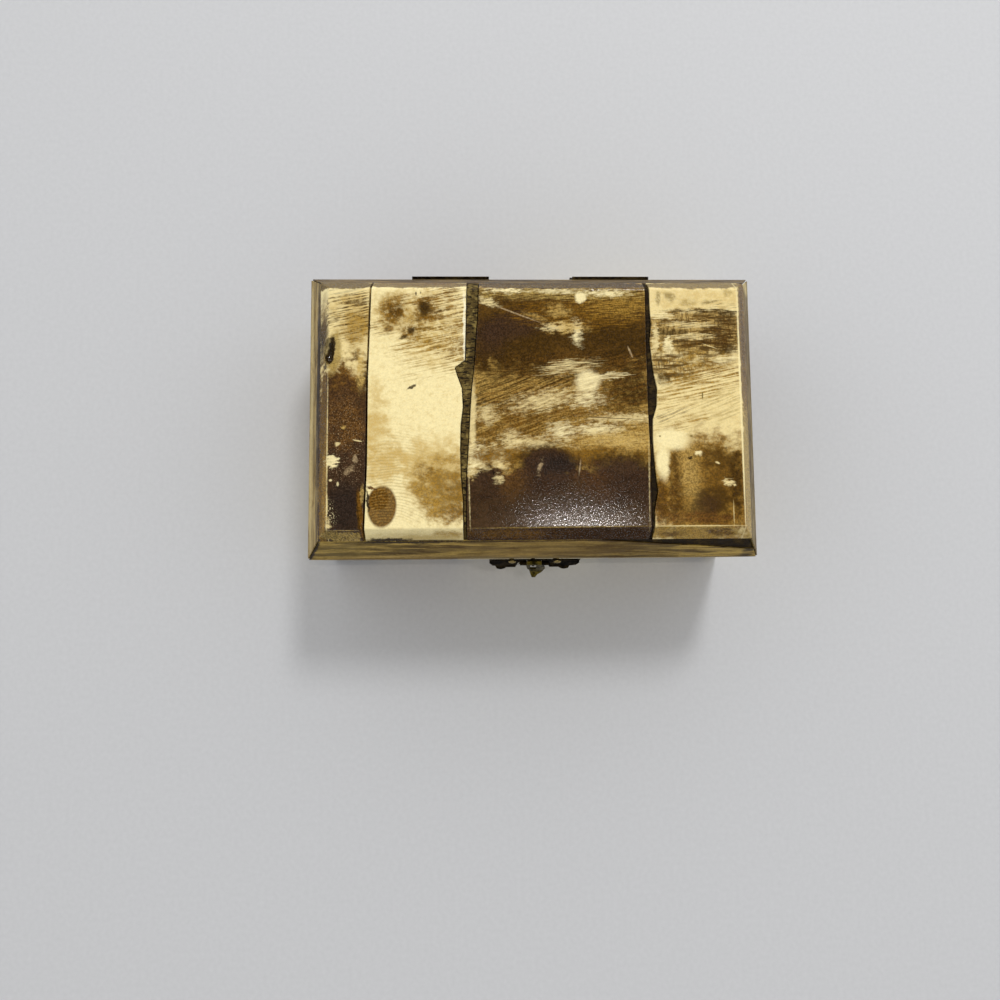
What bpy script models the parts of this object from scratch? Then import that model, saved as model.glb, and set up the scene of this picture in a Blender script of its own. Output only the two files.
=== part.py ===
"""A small keepsake box: a wooden carcass faced with bone plates, with a hinged lid and a brass hasp.

Metres, +Z up and +X to the right. The hasp is on the front, at -Y, and the hinges are on the back.
The origin is the centre of the underside.
"""

import math

import bmesh
import bpy
from mathutils import Matrix, Vector

# Overall sizes
BOX_WIDTH = 0.1000
BOX_DEPTH = 0.0637
BODY_HEIGHT = 0.0240

# Carcass and facing
BASE_THICKNESS = 0.0040
WALL_THICKNESS = 0.0034
FACING_THICKNESS = 0.0026
FACING_SEAM = 0.0013
FACING_FOOT = 0.0002
EDGE_ROUND = 0.00025

# Clearances: glued faces, filler in its groove, metal on metal, and the seam under the lid
GLUE_GAP = 0.0003
FILLER_GAP = 0.0002
FIT_GAP = 0.00015
SEAM_GAP = 0.0003
CUT_OVERRUN = 0.0020

# Lid: an upright land, a sloping rim and a field of bevelled plates
LID_LAND = 0.0055
SLOPE_RUN = 0.0037
SLOPE_RISE = 0.0075
BEVEL_RUN = 0.0025
PLATE_THICKNESS = 0.0035
LID_BOARD_THICKNESS = 0.0030
FILLER_RECESS = 0.0003
PLATE_CORNER_ROUND = 0.0022

# A pit in the edge of the first plate
PIT_LENGTH = 0.0058
PIT_WIDTH = 0.0026
PIT_DEPTH = 0.0022
PIT_FROM_MIDDLE = 0.0120

# The tapering patch of filler along the top of the front rim
PATCH_START = 0.0130
PATCH_DROP = 0.0047
PATCH_DEPTH = 0.0015

# Hinges
HINGE_SPREAD = 0.0368
LEAF_WIDTH = 0.0176
LEAF_REACH = 0.0052
LEAF_THICKNESS = 0.0006
LEAF_NAIL_REACH = 0.0033
LEAF_NAIL_SPREAD = 0.0106
KNUCKLE_RADIUS = 0.0012
KNUCKLE_BULGE = 0.0001
HINGE_PIN_RADIUS = 0.0005
HINGE_PIN_PROUD = 0.0003

# Panel pins that hold the metalwork
NAIL_HEAD_RADIUS = 0.0009
NAIL_HEAD_HEIGHT = 0.0005
NAIL_SHANK_RADIUS = 0.00042
NAIL_LENGTH = 0.0050
NAIL_POINT = 0.0008

# Hasp
HASP_OFFSET = 0.0003
HASP_LIFT = 0.0012
HASP_AXIS_REACH = 0.0009
HASP_KNUCKLE_RADIUS = 0.0007
HASP_PIN_RADIUS = 0.0003
HASP_EAR_WIDTH = 0.0015
HASP_NAIL_SPREAD = 0.0102
HASP_NAIL_LIFT = 0.0005
PLATE_WEB = 0.00035
LID_PLATE_WIDTH = 0.0204
LID_PLATE_HEIGHT = 0.0047
LID_PLATE_FOOT = 0.0005
LID_PLATE_FLARE = 0.0012
BODY_PLATE_WIDTH = 0.0178
BODY_PLATE_HEIGHT = 0.0052
BODY_PLATE_HEAD = 0.0006
BODY_PLATE_FLARE = 0.0020
TONGUE_KNUCKLE_WIDTH = 0.0032
TONGUE_WIDTH = 0.0042
TONGUE_THICKNESS = 0.0005
TONGUE_STRAIGHT = 0.0060
TONGUE_SKEW = 0.0009
TONGUE_LIP_RADIUS = 0.0025
TONGUE_SLOT_WIDTH = 0.0015
TONGUE_REST_ANGLE = math.radians(15.0)
TONGUE_LIP_ANGLE = math.radians(65.0)
STAPLE_DROP = 0.00355
STAPLE_RADIUS = 0.00095
STAPLE_WIRE = 0.0008
STAPLE_STAND = 0.00055
STAPLE_LEG = 0.0050

# Facets
ROUND_STEPS = 16
SMALL_STEPS = 10
MIDDLE_STEPS = 4
WING_STEPS = 6
LIP_STEPS = 8
CORNER_STEPS = 5

# Joints between the top plates, front to back: share of the field's depth, then the left and the
# right edge as shares of the field's width from its middle
THIN_JOINT_SHARES = (
    (0.00, -0.3935, -0.3890),
    (0.28, -0.3872, -0.3828),
    (0.62, -0.3862, -0.3818),
    (1.00, -0.3788, -0.3744),
)
NOTCHED_JOINT_SHARES = (
    (0.00, -0.1668, -0.1580),
    (0.15, -0.1672, -0.1585),
    (0.24, -0.1720, -0.1575),
    (0.34, -0.1731, -0.1538),
    (0.43, -0.1720, -0.1505),
    (0.50, -0.1667, -0.1484),
    (0.57, -0.1688, -0.1452),
    (0.62, -0.1796, -0.1419),
    (0.65, -0.1849, -0.1398),
    (0.68, -0.1613, -0.1382),
    (0.77, -0.1602, -0.1344),
    (0.86, -0.1586, -0.1301),
    (1.00, -0.1570, -0.1280),
)
WAVY_JOINT_SHARES = (
    (0.00, 0.2591, 0.2672),
    (0.11, 0.2595, 0.2678),
    (0.18, 0.2598, 0.2763),
    (0.24, 0.2602, 0.2720),
    (0.31, 0.2602, 0.2688),
    (0.38, 0.2590, 0.2670),
    (0.45, 0.2575, 0.2680),
    (0.50, 0.2570, 0.2774),
    (0.57, 0.2568, 0.2796),
    (0.62, 0.2566, 0.2731),
    (0.68, 0.2564, 0.2688),
    (0.75, 0.2559, 0.2650),
    (0.82, 0.2559, 0.2690),
    (0.89, 0.2559, 0.2667),
    (1.00, 0.2559, 0.2667),
)

# Seams between the facing plates: foot and head as shares of the side's length from its middle
FRONT_SEAM_SHARES = ((-0.188, -0.172), (0.206, 0.194))
BACK_SEAM_SHARES = ((-0.012, 0.014),)
LEFT_SEAM_SHARES = ((0.070, 0.100),)
RIGHT_SEAM_SHARES = ((-0.095, -0.070),)

# Hasp plates: share of the way along a stretch, share of the height, share of the flare
LID_MIDDLE_SHARES = ((0.00, 1.00, 0.00), (0.50, 0.99, 0.00), (0.75, 0.96, 0.60), (1.00, 0.80, 0.75))
BODY_MIDDLE_SHARES = ((0.00, 1.00, 0.00), (0.75, 0.96, 0.00), (1.00, 0.80, 0.75))
WING_SHARES = (
    (0.00, 0.80, 0.75),
    (0.25, 0.95, 0.95),
    (0.55, 1.00, 1.00),
    (0.82, 0.84, 0.90),
    (1.00, 0.42, 0.45),
)
PLATE_EDGE_SHARE = 0.40

# Other shares: of half a leaf for its middle knuckle, of the tongue's strap for its neck and for its
# shoulder, of a sheet or a pin for its softened edge, of a nail's head for the points of its dome
LEAF_MIDDLE_SHARE = 0.40
TONGUE_NECK_SHARE = 0.22
TONGUE_SHOULDER_SHARE = 0.29
SOFT_EDGE_SHARE = 0.25
NAIL_DOME_SHARES = ((1.00, 0.00), (0.88, 0.50), (0.50, 0.88))

# The tongue's lip: share of its curl, width and sideways shift as shares of the tongue's width
LIP_WIDTH_SHARES = (
    (0.00, 0.86, 0.214),
    (0.25, 0.79, 0.210),
    (0.50, 0.65, 0.190),
    (0.75, 0.37, 0.100),
    (1.00, 0.20, 0.070),
)

# Places that follow from the sizes
HALF_WIDTH = BOX_WIDTH / 2
HALF_DEPTH = BOX_DEPTH / 2
CARCASS_INSET = FACING_THICKNESS + GLUE_GAP
WELL_INSET = CARCASS_INSET + WALL_THICKNESS
SEAM_Z = BODY_HEIGHT + SEAM_GAP
LAND_Z = SEAM_Z + LID_LAND
FIELD_Z = LAND_Z + SLOPE_RISE
PLATE_FOOT_Z = FIELD_Z + GLUE_GAP
TOP_Z = FIELD_Z + PLATE_THICKNESS
FIELD_WIDTH = BOX_WIDTH - 2 * SLOPE_RUN
FIELD_DEPTH = BOX_DEPTH - 2 * SLOPE_RUN
HINGE_Z = BODY_HEIGHT + SEAM_GAP / 2
HINGE_Y = HALF_DEPTH + GLUE_GAP + KNUCKLE_RADIUS - KNUCKLE_BULGE
HINGE_PLACES = (("left", -HINGE_SPREAD / 2), ("right", HINGE_SPREAD / 2))
HASP_Z = SEAM_Z + HASP_LIFT
STAPLE_Z = HASP_Z - STAPLE_DROP
HOLE_RADIUS = NAIL_SHANK_RADIUS + FIT_GAP
TURNS = {"front": 0.0, "right": math.pi / 2, "back": math.pi, "left": -math.pi / 2}

# The plane that an outline is drawn in: its two axes, and the axis that it is extruded along
PLANES = {"plan": "xyz", "front": "xzy"}

# Colour, roughness and metallic value of each finish
FINISHES = {
    "cream_bone": ((0.80, 0.66, 0.40), 0.34, 0.0),
    "brown_bone": ((0.20, 0.11, 0.05), 0.38, 0.0),
    "tan_bone": ((0.42, 0.30, 0.15), 0.40, 0.0),
    "dark_filler": ((0.035, 0.028, 0.018), 0.55, 0.0),
    "bare_wood": ((0.36, 0.20, 0.09), 0.70, 0.0),
    "aged_brass": ((0.22, 0.16, 0.07), 0.45, 1.0),
    "bright_brass": ((0.75, 0.62, 0.38), 0.30, 1.0),
}


def clear_scene():
    for old in list(bpy.data.objects):
        bpy.data.objects.remove(old, do_unlink=True)


def finish_material(finish):
    """The material of a finish, made once."""
    if finish in bpy.data.materials:
        return bpy.data.materials[finish]
    colour, roughness, metallic = FINISHES[finish]
    material = bpy.data.materials.new(finish)
    material.use_nodes = True
    shader = material.node_tree.nodes["Principled BSDF"]
    shader.inputs["Base Color"].default_value = (*colour, 1.0)
    shader.inputs["Roughness"].default_value = roughness
    shader.inputs["Metallic"].default_value = metallic
    return material


def add_object(name, mesh_source, finish=None):
    """Turns a bmesh into an object, or gives a shared mesh another object."""
    mesh = mesh_source
    if isinstance(mesh_source, bmesh.types.BMesh):
        bmesh.ops.recalc_face_normals(mesh_source, faces=mesh_source.faces)
        mesh = bpy.data.meshes.new(name)
        mesh_source.to_mesh(mesh)
        mesh_source.free()
    made = bpy.data.objects.new(name, mesh)
    bpy.context.scene.collection.objects.link(made)
    if finish and not mesh.materials:
        mesh.materials.append(finish_material(finish))
    return made


def as_cutter(made):
    made.hide_render = True
    made.display_type = "WIRE"
    return made


def combine(target, other, operation):
    step = target.modifiers.new(operation.lower(), "BOOLEAN")
    step.operation = operation
    step.object = other
    as_cutter(other)


def soften(made, width=EDGE_ROUND):
    """A small chamfer along the sharp edges."""
    step = made.modifiers.new("soft_edges", "BEVEL")
    step.width = width
    step.segments = 1
    step.limit_method = "ANGLE"
    step.angle_limit = math.radians(35)


def shade_round(made):
    made.data.shade_smooth()
    made.data.set_sharp_from_angle(angle=math.radians(40))


def in_plane(plane, across, upward, along):
    """A point given in the axes of a drawing plane."""
    values = dict(zip(PLANES[plane], (across, upward, along)))
    return Vector((values["x"], values["y"], values["z"]))


def prism(name, outline, plane, start, end, finish=None):
    """Extrudes a closed outline, drawn in a plane, from start to end along the plane's normal."""
    bm = bmesh.new()
    corners = [bm.verts.new(in_plane(plane, a, b, start)) for a, b in outline]
    face = bm.faces.new(corners)
    grown = bmesh.ops.extrude_face_region(bm, geom=[face])["geom"]
    step = in_plane(plane, 0, 0, end - start)
    moved = [item for item in grown if isinstance(item, bmesh.types.BMVert)]
    bmesh.ops.translate(bm, vec=step, verts=moved)
    return add_object(name, bm, finish)


def rectangle(low_a, low_b, high_a, high_b):
    return [(low_a, low_b), (high_a, low_b), (high_a, high_b), (low_a, high_b)]


def centred_rectangle(half_a, half_b):
    return rectangle(-half_a, -half_b, half_a, half_b)


def loft(name, rings, finish=None):
    """Extrudes the first ring's face from ring to ring."""
    bm = bmesh.new()
    first = [bm.verts.new(point) for point in rings[0]]
    face = bm.faces.new(first)
    for ring in rings[1:]:
        face = bmesh.ops.extrude_discrete_faces(bm, faces=[face])["faces"][0]
        for loop, point in zip(face.loops, ring):
            loop.vert.co = point
    bm.faces.new(list(reversed(first)))
    return add_object(name, bm, finish)


def rods(name, ends, radius, steps=ROUND_STEPS, finish=None):
    """Straight round rods, each from one end point to the other."""
    bm = bmesh.new()
    for start, end in ends:
        span = Vector(end) - Vector(start)
        turn = span.to_track_quat("Z", "Y").to_matrix().to_4x4()
        place = Matrix.Translation((Vector(start) + Vector(end)) / 2) @ turn
        bmesh.ops.create_cone(
            bm, cap_ends=True, segments=steps, radius1=radius, radius2=radius,
            depth=span.length, matrix=place,
        )
    return add_object(name, bm, finish)


def turned(name, profile, steps, finish):
    """Spins a profile of radius and height about +Z. It starts and ends on the axis."""
    bm = bmesh.new()
    points = [bm.verts.new((radius, 0, height)) for radius, height in profile]
    edges = [bm.edges.new(pair) for pair in zip(points, points[1:])]
    bmesh.ops.spin(
        bm, geom=points + edges, cent=(0, 0, 0), axis=(0, 0, 1),
        angle=math.tau, steps=steps, use_merge=True,
    )
    bmesh.ops.remove_doubles(bm, verts=bm.verts, dist=FIT_GAP / 100)
    made = add_object(name, bm, finish)
    shade_round(made)
    return made


def blended(shares, place):
    """The values of a table of shares at a place along it, eased from row to row."""
    for low, high in zip(shares, shares[1:]):
        if place <= high[0]:
            part = (place - low[0]) / (high[0] - low[0])
            part = part * part * (3 - 2 * part)
            return [a + (b - a) * part for a, b in zip(low[1:], high[1:])]
    return list(shares[-1][1:])


def mitred_bar(name, side, profile, joint_gap, finish):
    """A bar along one side of the box, its ends mitred at the corners.

    The profile's points are the inset from the box's outer face, and the height.
    """
    along = HALF_WIDTH if side in ("front", "back") else HALF_DEPTH
    across = HALF_DEPTH if side in ("front", "back") else HALF_WIDTH
    rings = []
    for sense in (-1, 1):
        rings.append(
            [(sense * (along - inset - joint_gap), inset - across, z) for inset, z in profile]
        )
    bar = loft(name, rings, finish)
    bar.rotation_euler.z = TURNS[side]
    return bar


def make_base():
    base = prism(
        "base_board", centred_rectangle(HALF_WIDTH - CARCASS_INSET, HALF_DEPTH - CARCASS_INSET),
        "plan", 0, BASE_THICKNESS, "bare_wood",
    )
    soften(base)


def make_walls():
    """Front and back walls are rebated at their ends, and the side walls sit in the rebates."""
    outer_x = HALF_WIDTH - CARCASS_INSET
    outer_y = HALF_DEPTH - CARCASS_INSET
    inner_y = HALF_DEPTH - WELL_INSET
    shoulder_y = outer_y - WALL_THICKNESS / 2
    shoulder_x = HALF_WIDTH - WELL_INSET - GLUE_GAP
    long_wall = [
        (-outer_x, -outer_y), (outer_x, -outer_y), (outer_x, -shoulder_y), (shoulder_x, -shoulder_y),
        (shoulder_x, -inner_y), (-shoulder_x, -inner_y), (-shoulder_x, -shoulder_y),
        (-outer_x, -shoulder_y),
    ]
    side_reach = shoulder_y - GLUE_GAP
    short_wall = rectangle(-side_reach, -outer_x, side_reach, WELL_INSET - HALF_WIDTH)
    for side, outline in (
        ("front", long_wall), ("back", long_wall), ("left", short_wall), ("right", short_wall)
    ):
        wall = prism(
            "wall_" + side, outline, "plan", BASE_THICKNESS + GLUE_GAP, BODY_HEIGHT, "bare_wood"
        )
        wall.rotation_euler.z = TURNS[side]


def slanted_panel(name, side, left, right, inset, thickness, finish):
    """A plate on one side of the box. Each edge is given at its foot and at its head."""
    across = HALF_DEPTH if side in ("front", "back") else HALF_WIDTH
    outline = [
        (left[0], FACING_FOOT), (right[0], FACING_FOOT), (right[1], BODY_HEIGHT), (left[1], BODY_HEIGHT)
    ]
    panel = prism(name, outline, "front", inset - across, inset + thickness - across, finish)
    panel.rotation_euler.z = TURNS[side]
    return panel


def make_facing(side, run, seam_shares, names, finishes):
    """Bone plates along one side of the body, and the dark seams between them."""
    edges = [(-run / 2, -run / 2)]
    for number, (foot_share, head_share) in enumerate(seam_shares):
        foot, head = foot_share * run, head_share * run
        half = FACING_SEAM / 2
        edges += [(foot - half, head - half), (foot + half, head + half)]
        half -= FILLER_GAP
        seam_name = "seam_" + side + ("_" + names[2 * number] if len(seam_shares) > 1 else "")
        slanted_panel(
            seam_name, side, (foot - half, head - half), (foot + half, head + half),
            FILLER_RECESS, FACING_THICKNESS - FILLER_RECESS, "dark_filler",
        )
    edges.append((run / 2, run / 2))
    for name, finish, left, right in zip(names, finishes, edges[::2], edges[1::2]):
        soften(
            slanted_panel(f"bone_{side}_{name}", side, left, right, 0, FACING_THICKNESS, finish)
        )


def make_body_facing():
    side_run = BOX_DEPTH - 2 * CARCASS_INSET
    make_facing(
        "front", BOX_WIDTH, FRONT_SEAM_SHARES, ("left", "middle", "right"),
        ("brown_bone", "cream_bone", "tan_bone"),
    )
    make_facing("back", BOX_WIDTH, BACK_SEAM_SHARES, ("right", "left"), ("cream_bone", "brown_bone"))
    make_facing("left", side_run, LEFT_SEAM_SHARES, ("back", "front"), ("tan_bone", "cream_bone"))
    make_facing("right", side_run, RIGHT_SEAM_SHARES, ("front", "back"), ("cream_bone", "brown_bone"))


def make_lid_rim():
    """Four ground bone strips: upright at the foot, sloping above, mitred at the corners."""
    strip = [
        (0, SEAM_Z), (0, LAND_Z), (SLOPE_RUN, FIELD_Z), (SLOPE_RUN + FACING_THICKNESS, FIELD_Z),
        (FACING_THICKNESS, LAND_Z), (FACING_THICKNESS, SEAM_Z),
    ]
    for side in TURNS:
        soften(mitred_bar("rim_strip_" + side, side, strip, GLUE_GAP / 2, "tan_bone"), FILLER_GAP)


def make_lid_frame():
    """The wooden rails behind the rim strips, and the board on top of them that carries the plates."""
    rail_top = FIELD_Z - LID_BOARD_THICKNESS - GLUE_GAP
    lean = SLOPE_RUN / SLOPE_RISE
    rail = [
        (CARCASS_INSET, SEAM_Z), (CARCASS_INSET, LAND_Z),
        (CARCASS_INSET + lean * (rail_top - LAND_Z), rail_top), (WELL_INSET, rail_top),
        (WELL_INSET, SEAM_Z),
    ]
    for side in TURNS:
        mitred_bar("lid_rail_" + side, side, rail, GLUE_GAP / 2, "bare_wood")
    inset = SLOPE_RUN + CARCASS_INSET
    flare = lean * LID_BOARD_THICKNESS
    tapered_block(
        "lid_board", HALF_WIDTH - inset, HALF_DEPTH - inset, flare,
        FIELD_Z - LID_BOARD_THICKNESS, FIELD_Z, "bare_wood",
    )


def tapered_block(name, half_x, half_y, flare, foot, head, finish=None):
    """A block whose head has the half sizes given and whose foot is wider by the flare."""
    rings = []
    for z, extra in ((foot, flare), (head, 0)):
        rings.append([(x, y, z) for x, y in centred_rectangle(half_x + extra, half_y + extra)])
    return loft(name, rings, finish)


def field_point(width_share, depth_share):
    """A point of the field of plates, from shares of its width and of its depth from the front."""
    return width_share * FIELD_WIDTH, depth_share * FIELD_DEPTH - FIELD_DEPTH / 2


def joint_edge(joint, column, shift=0.0):
    """One edge of a joint between top plates, from front to back, carried past the field's ends."""
    points = [field_point(row[column], row[0]) for row in joint]
    points = [(x + shift, y) for x, y in points]
    front, back = points[0], points[-1]
    return [(front[0], front[1] - CUT_OVERRUN)] + points + [(back[0], back[1] + CUT_OVERRUN)]


def straight_edge(x):
    reach = FIELD_DEPTH / 2 + CUT_OVERRUN
    return [(x, -reach), (x, reach)]


def cut_from_field(name, left, right, blank, finish):
    """What lies between two edges, cut from a copy of the bevelled field."""
    outline = left + list(reversed(right))
    piece = prism(
        name, outline, "plan", PLATE_FOOT_Z - CUT_OVERRUN, TOP_Z + CUT_OVERRUN, finish
    )
    combine(piece, blank, "INTERSECT")
    return piece


def bevelled_field(name, recess):
    """The whole field of plates as one block, bevelled from its foot to its top."""
    return tapered_block(
        name, FIELD_WIDTH / 2 - BEVEL_RUN - recess, FIELD_DEPTH / 2 - BEVEL_RUN - recess,
        BEVEL_RUN, PLATE_FOOT_Z, TOP_Z - recess,
    )


def make_top_plates():
    field = bevelled_field("field_blank", 0.0)
    step = field.modifiers.new("soft_ridges", "BEVEL")
    step.width = EDGE_ROUND
    step.segments = 2
    side = FIELD_WIDTH / 2 + CUT_OVERRUN
    edges = [straight_edge(-side)]
    for joint in (THIN_JOINT_SHARES, NOTCHED_JOINT_SHARES, WAVY_JOINT_SHARES):
        edges += [joint_edge(joint, 1), joint_edge(joint, 2)]
    edges.append(rounded_back_corner(side))
    finishes = ("brown_bone", "cream_bone", "brown_bone", "tan_bone")
    plates = []
    for number, finish in enumerate(finishes):
        left, right = edges[2 * number], edges[2 * number + 1]
        plates.append(cut_from_field(f"top_plate_{number + 1}", left, right, field, finish))
    combine(plates[0], make_pit(), "DIFFERENCE")


def rounded_back_corner(side):
    """The last plate's outer edge, its back corner rounded off."""
    corner_x = FIELD_WIDTH / 2 - PLATE_CORNER_ROUND
    corner_y = FIELD_DEPTH / 2 - PLATE_CORNER_ROUND
    edge = [(side, -FIELD_DEPTH / 2 - CUT_OVERRUN), (side, 0), (FIELD_WIDTH / 2, 0)]
    for step in range(CORNER_STEPS + 1):
        angle = math.pi / 2 * step / CORNER_STEPS
        edge.append((
            corner_x + PLATE_CORNER_ROUND * math.cos(angle),
            corner_y + PLATE_CORNER_ROUND * math.sin(angle),
        ))
    return edge + [(corner_x, FIELD_DEPTH / 2 + CUT_OVERRUN)]


def make_pit():
    """A natural hollow across the ridge of the first plate."""
    bm = bmesh.new()
    bmesh.ops.create_uvsphere(
        bm, u_segments=ROUND_STEPS, v_segments=SMALL_STEPS, radius=PIT_DEPTH
    )
    across, along = PIT_WIDTH / PIT_DEPTH / 2, PIT_LENGTH / PIT_DEPTH / 2
    bmesh.ops.scale(bm, vec=(across, along, 1), verts=bm.verts)
    pit = add_object("pit_cutter", bm)
    pit.location = (BEVEL_RUN - FIELD_WIDTH / 2, PIT_FROM_MIDDLE, TOP_Z)
    return pit


def make_top_fillers():
    blank = bevelled_field("filler_blank", FILLER_RECESS)
    for name, joint in (
        ("joint_filler_left", NOTCHED_JOINT_SHARES), ("joint_filler_right", WAVY_JOINT_SHARES)
    ):
        left = joint_edge(joint, 1, FILLER_GAP)
        right = joint_edge(joint, 2, -FILLER_GAP)
        cut_from_field(name, left, right, blank, "dark_filler")


def slope_patch(name, gap, overrun, finish=None):
    """The tapering patch along the head of the front rim, drawn in the slope's own plane.

    Its end follows the mitre, so its deeper face is shorter.
    """
    slope_length = math.hypot(SLOPE_RUN, SLOPE_RISE)
    lean = SLOPE_RUN / slope_length
    head = overrun - gap
    foot = gap - PATCH_DROP
    corner_x = HALF_WIDTH - SLOPE_RUN + overrun - 2 * gap
    fall = PATCH_DROP / (corner_x - PATCH_START)
    rings = []
    for depth in (PATCH_DEPTH - gap, -head):
        mitre_x = corner_x - depth * SLOPE_RISE / slope_length
        rings.append([
            (PATCH_START + (gap - head) / fall, head, -depth), (mitre_x - head * lean, head, -depth),
            (mitre_x - foot * lean, foot, -depth),
        ])
    patch = loft(name, rings, finish)
    patch.location = (0, SLOPE_RUN - HALF_DEPTH, FIELD_Z)
    patch.rotation_euler.x = math.atan2(SLOPE_RISE, SLOPE_RUN)
    return patch


def make_front_patch():
    slope_patch("rim_filler_front", FILLER_GAP, 0, "dark_filler")
    cutter = slope_patch("patch_cutter", 0, FILLER_GAP)
    combine(bpy.data.objects["rim_strip_front"], cutter, "DIFFERENCE")


def hinge_leaf_outline(reach_sense, own_middle):
    """A leaf seen from behind, cut back where the other leaf's knuckles turn."""
    half = LEAF_WIDTH / 2
    middle = LEAF_MIDDLE_SHARE * half
    edge = KNUCKLE_RADIUS + FIT_GAP
    reach = LEAF_REACH
    if own_middle:
        inner = middle - FIT_GAP / 2
        outline = [
            (-half, reach), (-half, edge), (-inner, edge), (-inner, 0), (inner, 0), (inner, edge),
            (half, edge), (half, reach),
        ]
    else:
        inner = middle + FIT_GAP / 2
        outline = [
            (-half, reach), (-half, 0), (-inner, 0), (-inner, edge), (inner, edge), (inner, 0),
            (half, 0), (half, reach),
        ]
    return [(x, reach_sense * z) for x, z in outline]


def hinge_knuckles(own_middle):
    """The x range of each knuckle of a leaf, from the hinge's middle."""
    half = LEAF_WIDTH / 2
    middle = LEAF_MIDDLE_SHARE * half
    if own_middle:
        return [(-middle + FIT_GAP / 2, middle - FIT_GAP / 2)]
    return [(-half, -middle - FIT_GAP / 2), (middle + FIT_GAP / 2, half)]


def make_hinge(side, x):
    """A surface hinge: the body's leaf has the two outer knuckles, and the lid's the middle one."""
    axis = bpy.data.objects.new(f"hinge_{side}_axis", None)
    bpy.context.scene.collection.objects.link(axis)
    axis.location = (x, HINGE_Y, HINGE_Z)
    inner_y = KNUCKLE_BULGE - KNUCKLE_RADIUS
    for leaf_name, sense, own_middle in (("body", -1, False), ("lid", 1, True)):
        leaf = prism(
            f"hinge_{side}_{leaf_name}_leaf", hinge_leaf_outline(sense, own_middle), "front",
            inner_y, inner_y + LEAF_THICKNESS, "aged_brass",
        )
        spans = hinge_knuckles(own_middle)
        barrel = rods(
            f"{leaf.name}_barrel", [((low, 0, 0), (high, 0, 0)) for low, high in spans],
            KNUCKLE_RADIUS,
        )
        holes = [((-LEAF_WIDTH, 0, 0), (LEAF_WIDTH, 0, 0))]
        bore = rods(f"{leaf.name}_bore", holes, HINGE_PIN_RADIUS + FIT_GAP)
        combine(leaf, barrel, "UNION")
        combine(leaf, bore, "DIFFERENCE")
        for helper in (leaf, barrel, bore):
            helper.parent = axis
        combine(leaf, bpy.data.objects[f"back_{leaf_name}_holes"], "DIFFERENCE")
    half_pin = LEAF_WIDTH / 2 + HINGE_PIN_PROUD
    pin = rods(
        f"hinge_{side}_pin", [((-half_pin, 0, 0), (half_pin, 0, 0))], HINGE_PIN_RADIUS,
        SMALL_STEPS, "bright_brass",
    )
    soften(pin, HINGE_PIN_RADIUS * SOFT_EDGE_SHARE)
    shade_round(pin)
    pin.parent = axis


def nail_places():
    """Every panel pin: its name, x, height, side and how far its seat stands off the box's face."""
    places = []
    leaf_seat = GLUE_GAP + LEAF_THICKNESS + FIT_GAP
    for side, x in HINGE_PLACES:
        for part, z in (("body", HINGE_Z - LEAF_NAIL_REACH), ("lid", HINGE_Z + LEAF_NAIL_REACH)):
            for hand, sense in (("a", -1), ("b", 1)):
                name = f"hinge_{side}_{part}_nail_{hand}"
                places.append((name, x + sense * LEAF_NAIL_SPREAD / 2, z, "back", part, leaf_seat))
    plate_seat = FIT_GAP + PLATE_WEB + FIT_GAP
    for part, plate_z in (("body", body_plate_z()), ("lid", lid_plate_z())):
        for hand, sense in (("left", -1), ("right", 1)):
            name = f"hasp_{part}_nail_{hand}"
            x = HASP_OFFSET + sense * HASP_NAIL_SPREAD / 2
            places.append((name, x, plate_z + HASP_NAIL_LIFT, "front", part, plate_seat))
    return places


def lid_plate_z():
    return SEAM_Z + LID_PLATE_FOOT + LID_PLATE_HEIGHT / 2


def body_plate_z():
    return SEAM_Z - BODY_PLATE_HEAD - BODY_PLATE_HEIGHT / 2


def out_from(side, x, out, z):
    """A point that stands off the front or the back face of the box."""
    reach = HALF_DEPTH + out
    return Vector((x, reach if side == "back" else -reach, z))


def make_nails():
    """Domed panel pins, all of one mesh."""
    profile = [
        (0, -NAIL_LENGTH), (NAIL_SHANK_RADIUS, NAIL_POINT - NAIL_LENGTH), (NAIL_SHANK_RADIUS, 0)
    ]
    for radius_share, height_share in NAIL_DOME_SHARES:
        profile.append((NAIL_HEAD_RADIUS * radius_share, NAIL_HEAD_HEIGHT * height_share))
    profile.append((0, NAIL_HEAD_HEIGHT))
    shared = None
    for name, x, z, side, _, seat in nail_places():
        if shared is None:
            nail = turned(name, profile, SMALL_STEPS, "bright_brass")
            shared = nail.data
        else:
            nail = add_object(name, shared)
        nail.location = out_from(side, x, seat, z)
        nail.rotation_euler.x = -math.pi / 2 if side == "back" else math.pi / 2


def staple_legs():
    """The height of each leg of the staple, and how far from the box's face both end."""
    return (STAPLE_Z - STAPLE_RADIUS, STAPLE_Z + STAPLE_RADIUS), STAPLE_STAND - STAPLE_LEG


def make_holes():
    """Pilot holes, as one cutter for each group of metalwork."""
    groups = {}
    for _, x, z, side, part, seat in nail_places():
        deepest = seat - NAIL_LENGTH - FIT_GAP
        hole = (out_from(side, x, seat + CUT_OVERRUN, z), out_from(side, x, deepest, z))
        groups.setdefault(f"{side}_{part}_holes", []).append(hole)
    for name, ends in groups.items():
        as_cutter(rods(name, ends, HOLE_RADIUS, SMALL_STEPS))
    ends = []
    heights, inside = staple_legs()
    for z in heights:
        ends.append((
            out_from("front", HASP_OFFSET, CUT_OVERRUN, z),
            out_from("front", HASP_OFFSET, inside - FIT_GAP, z),
        ))
    as_cutter(rods("staple_holes", ends, STAPLE_WIRE / 2 + FIT_GAP, SMALL_STEPS))


def drill(target_names, cutter_name):
    for name in target_names:
        combine(bpy.data.objects[name], bpy.data.objects[cutter_name], "DIFFERENCE")


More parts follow.
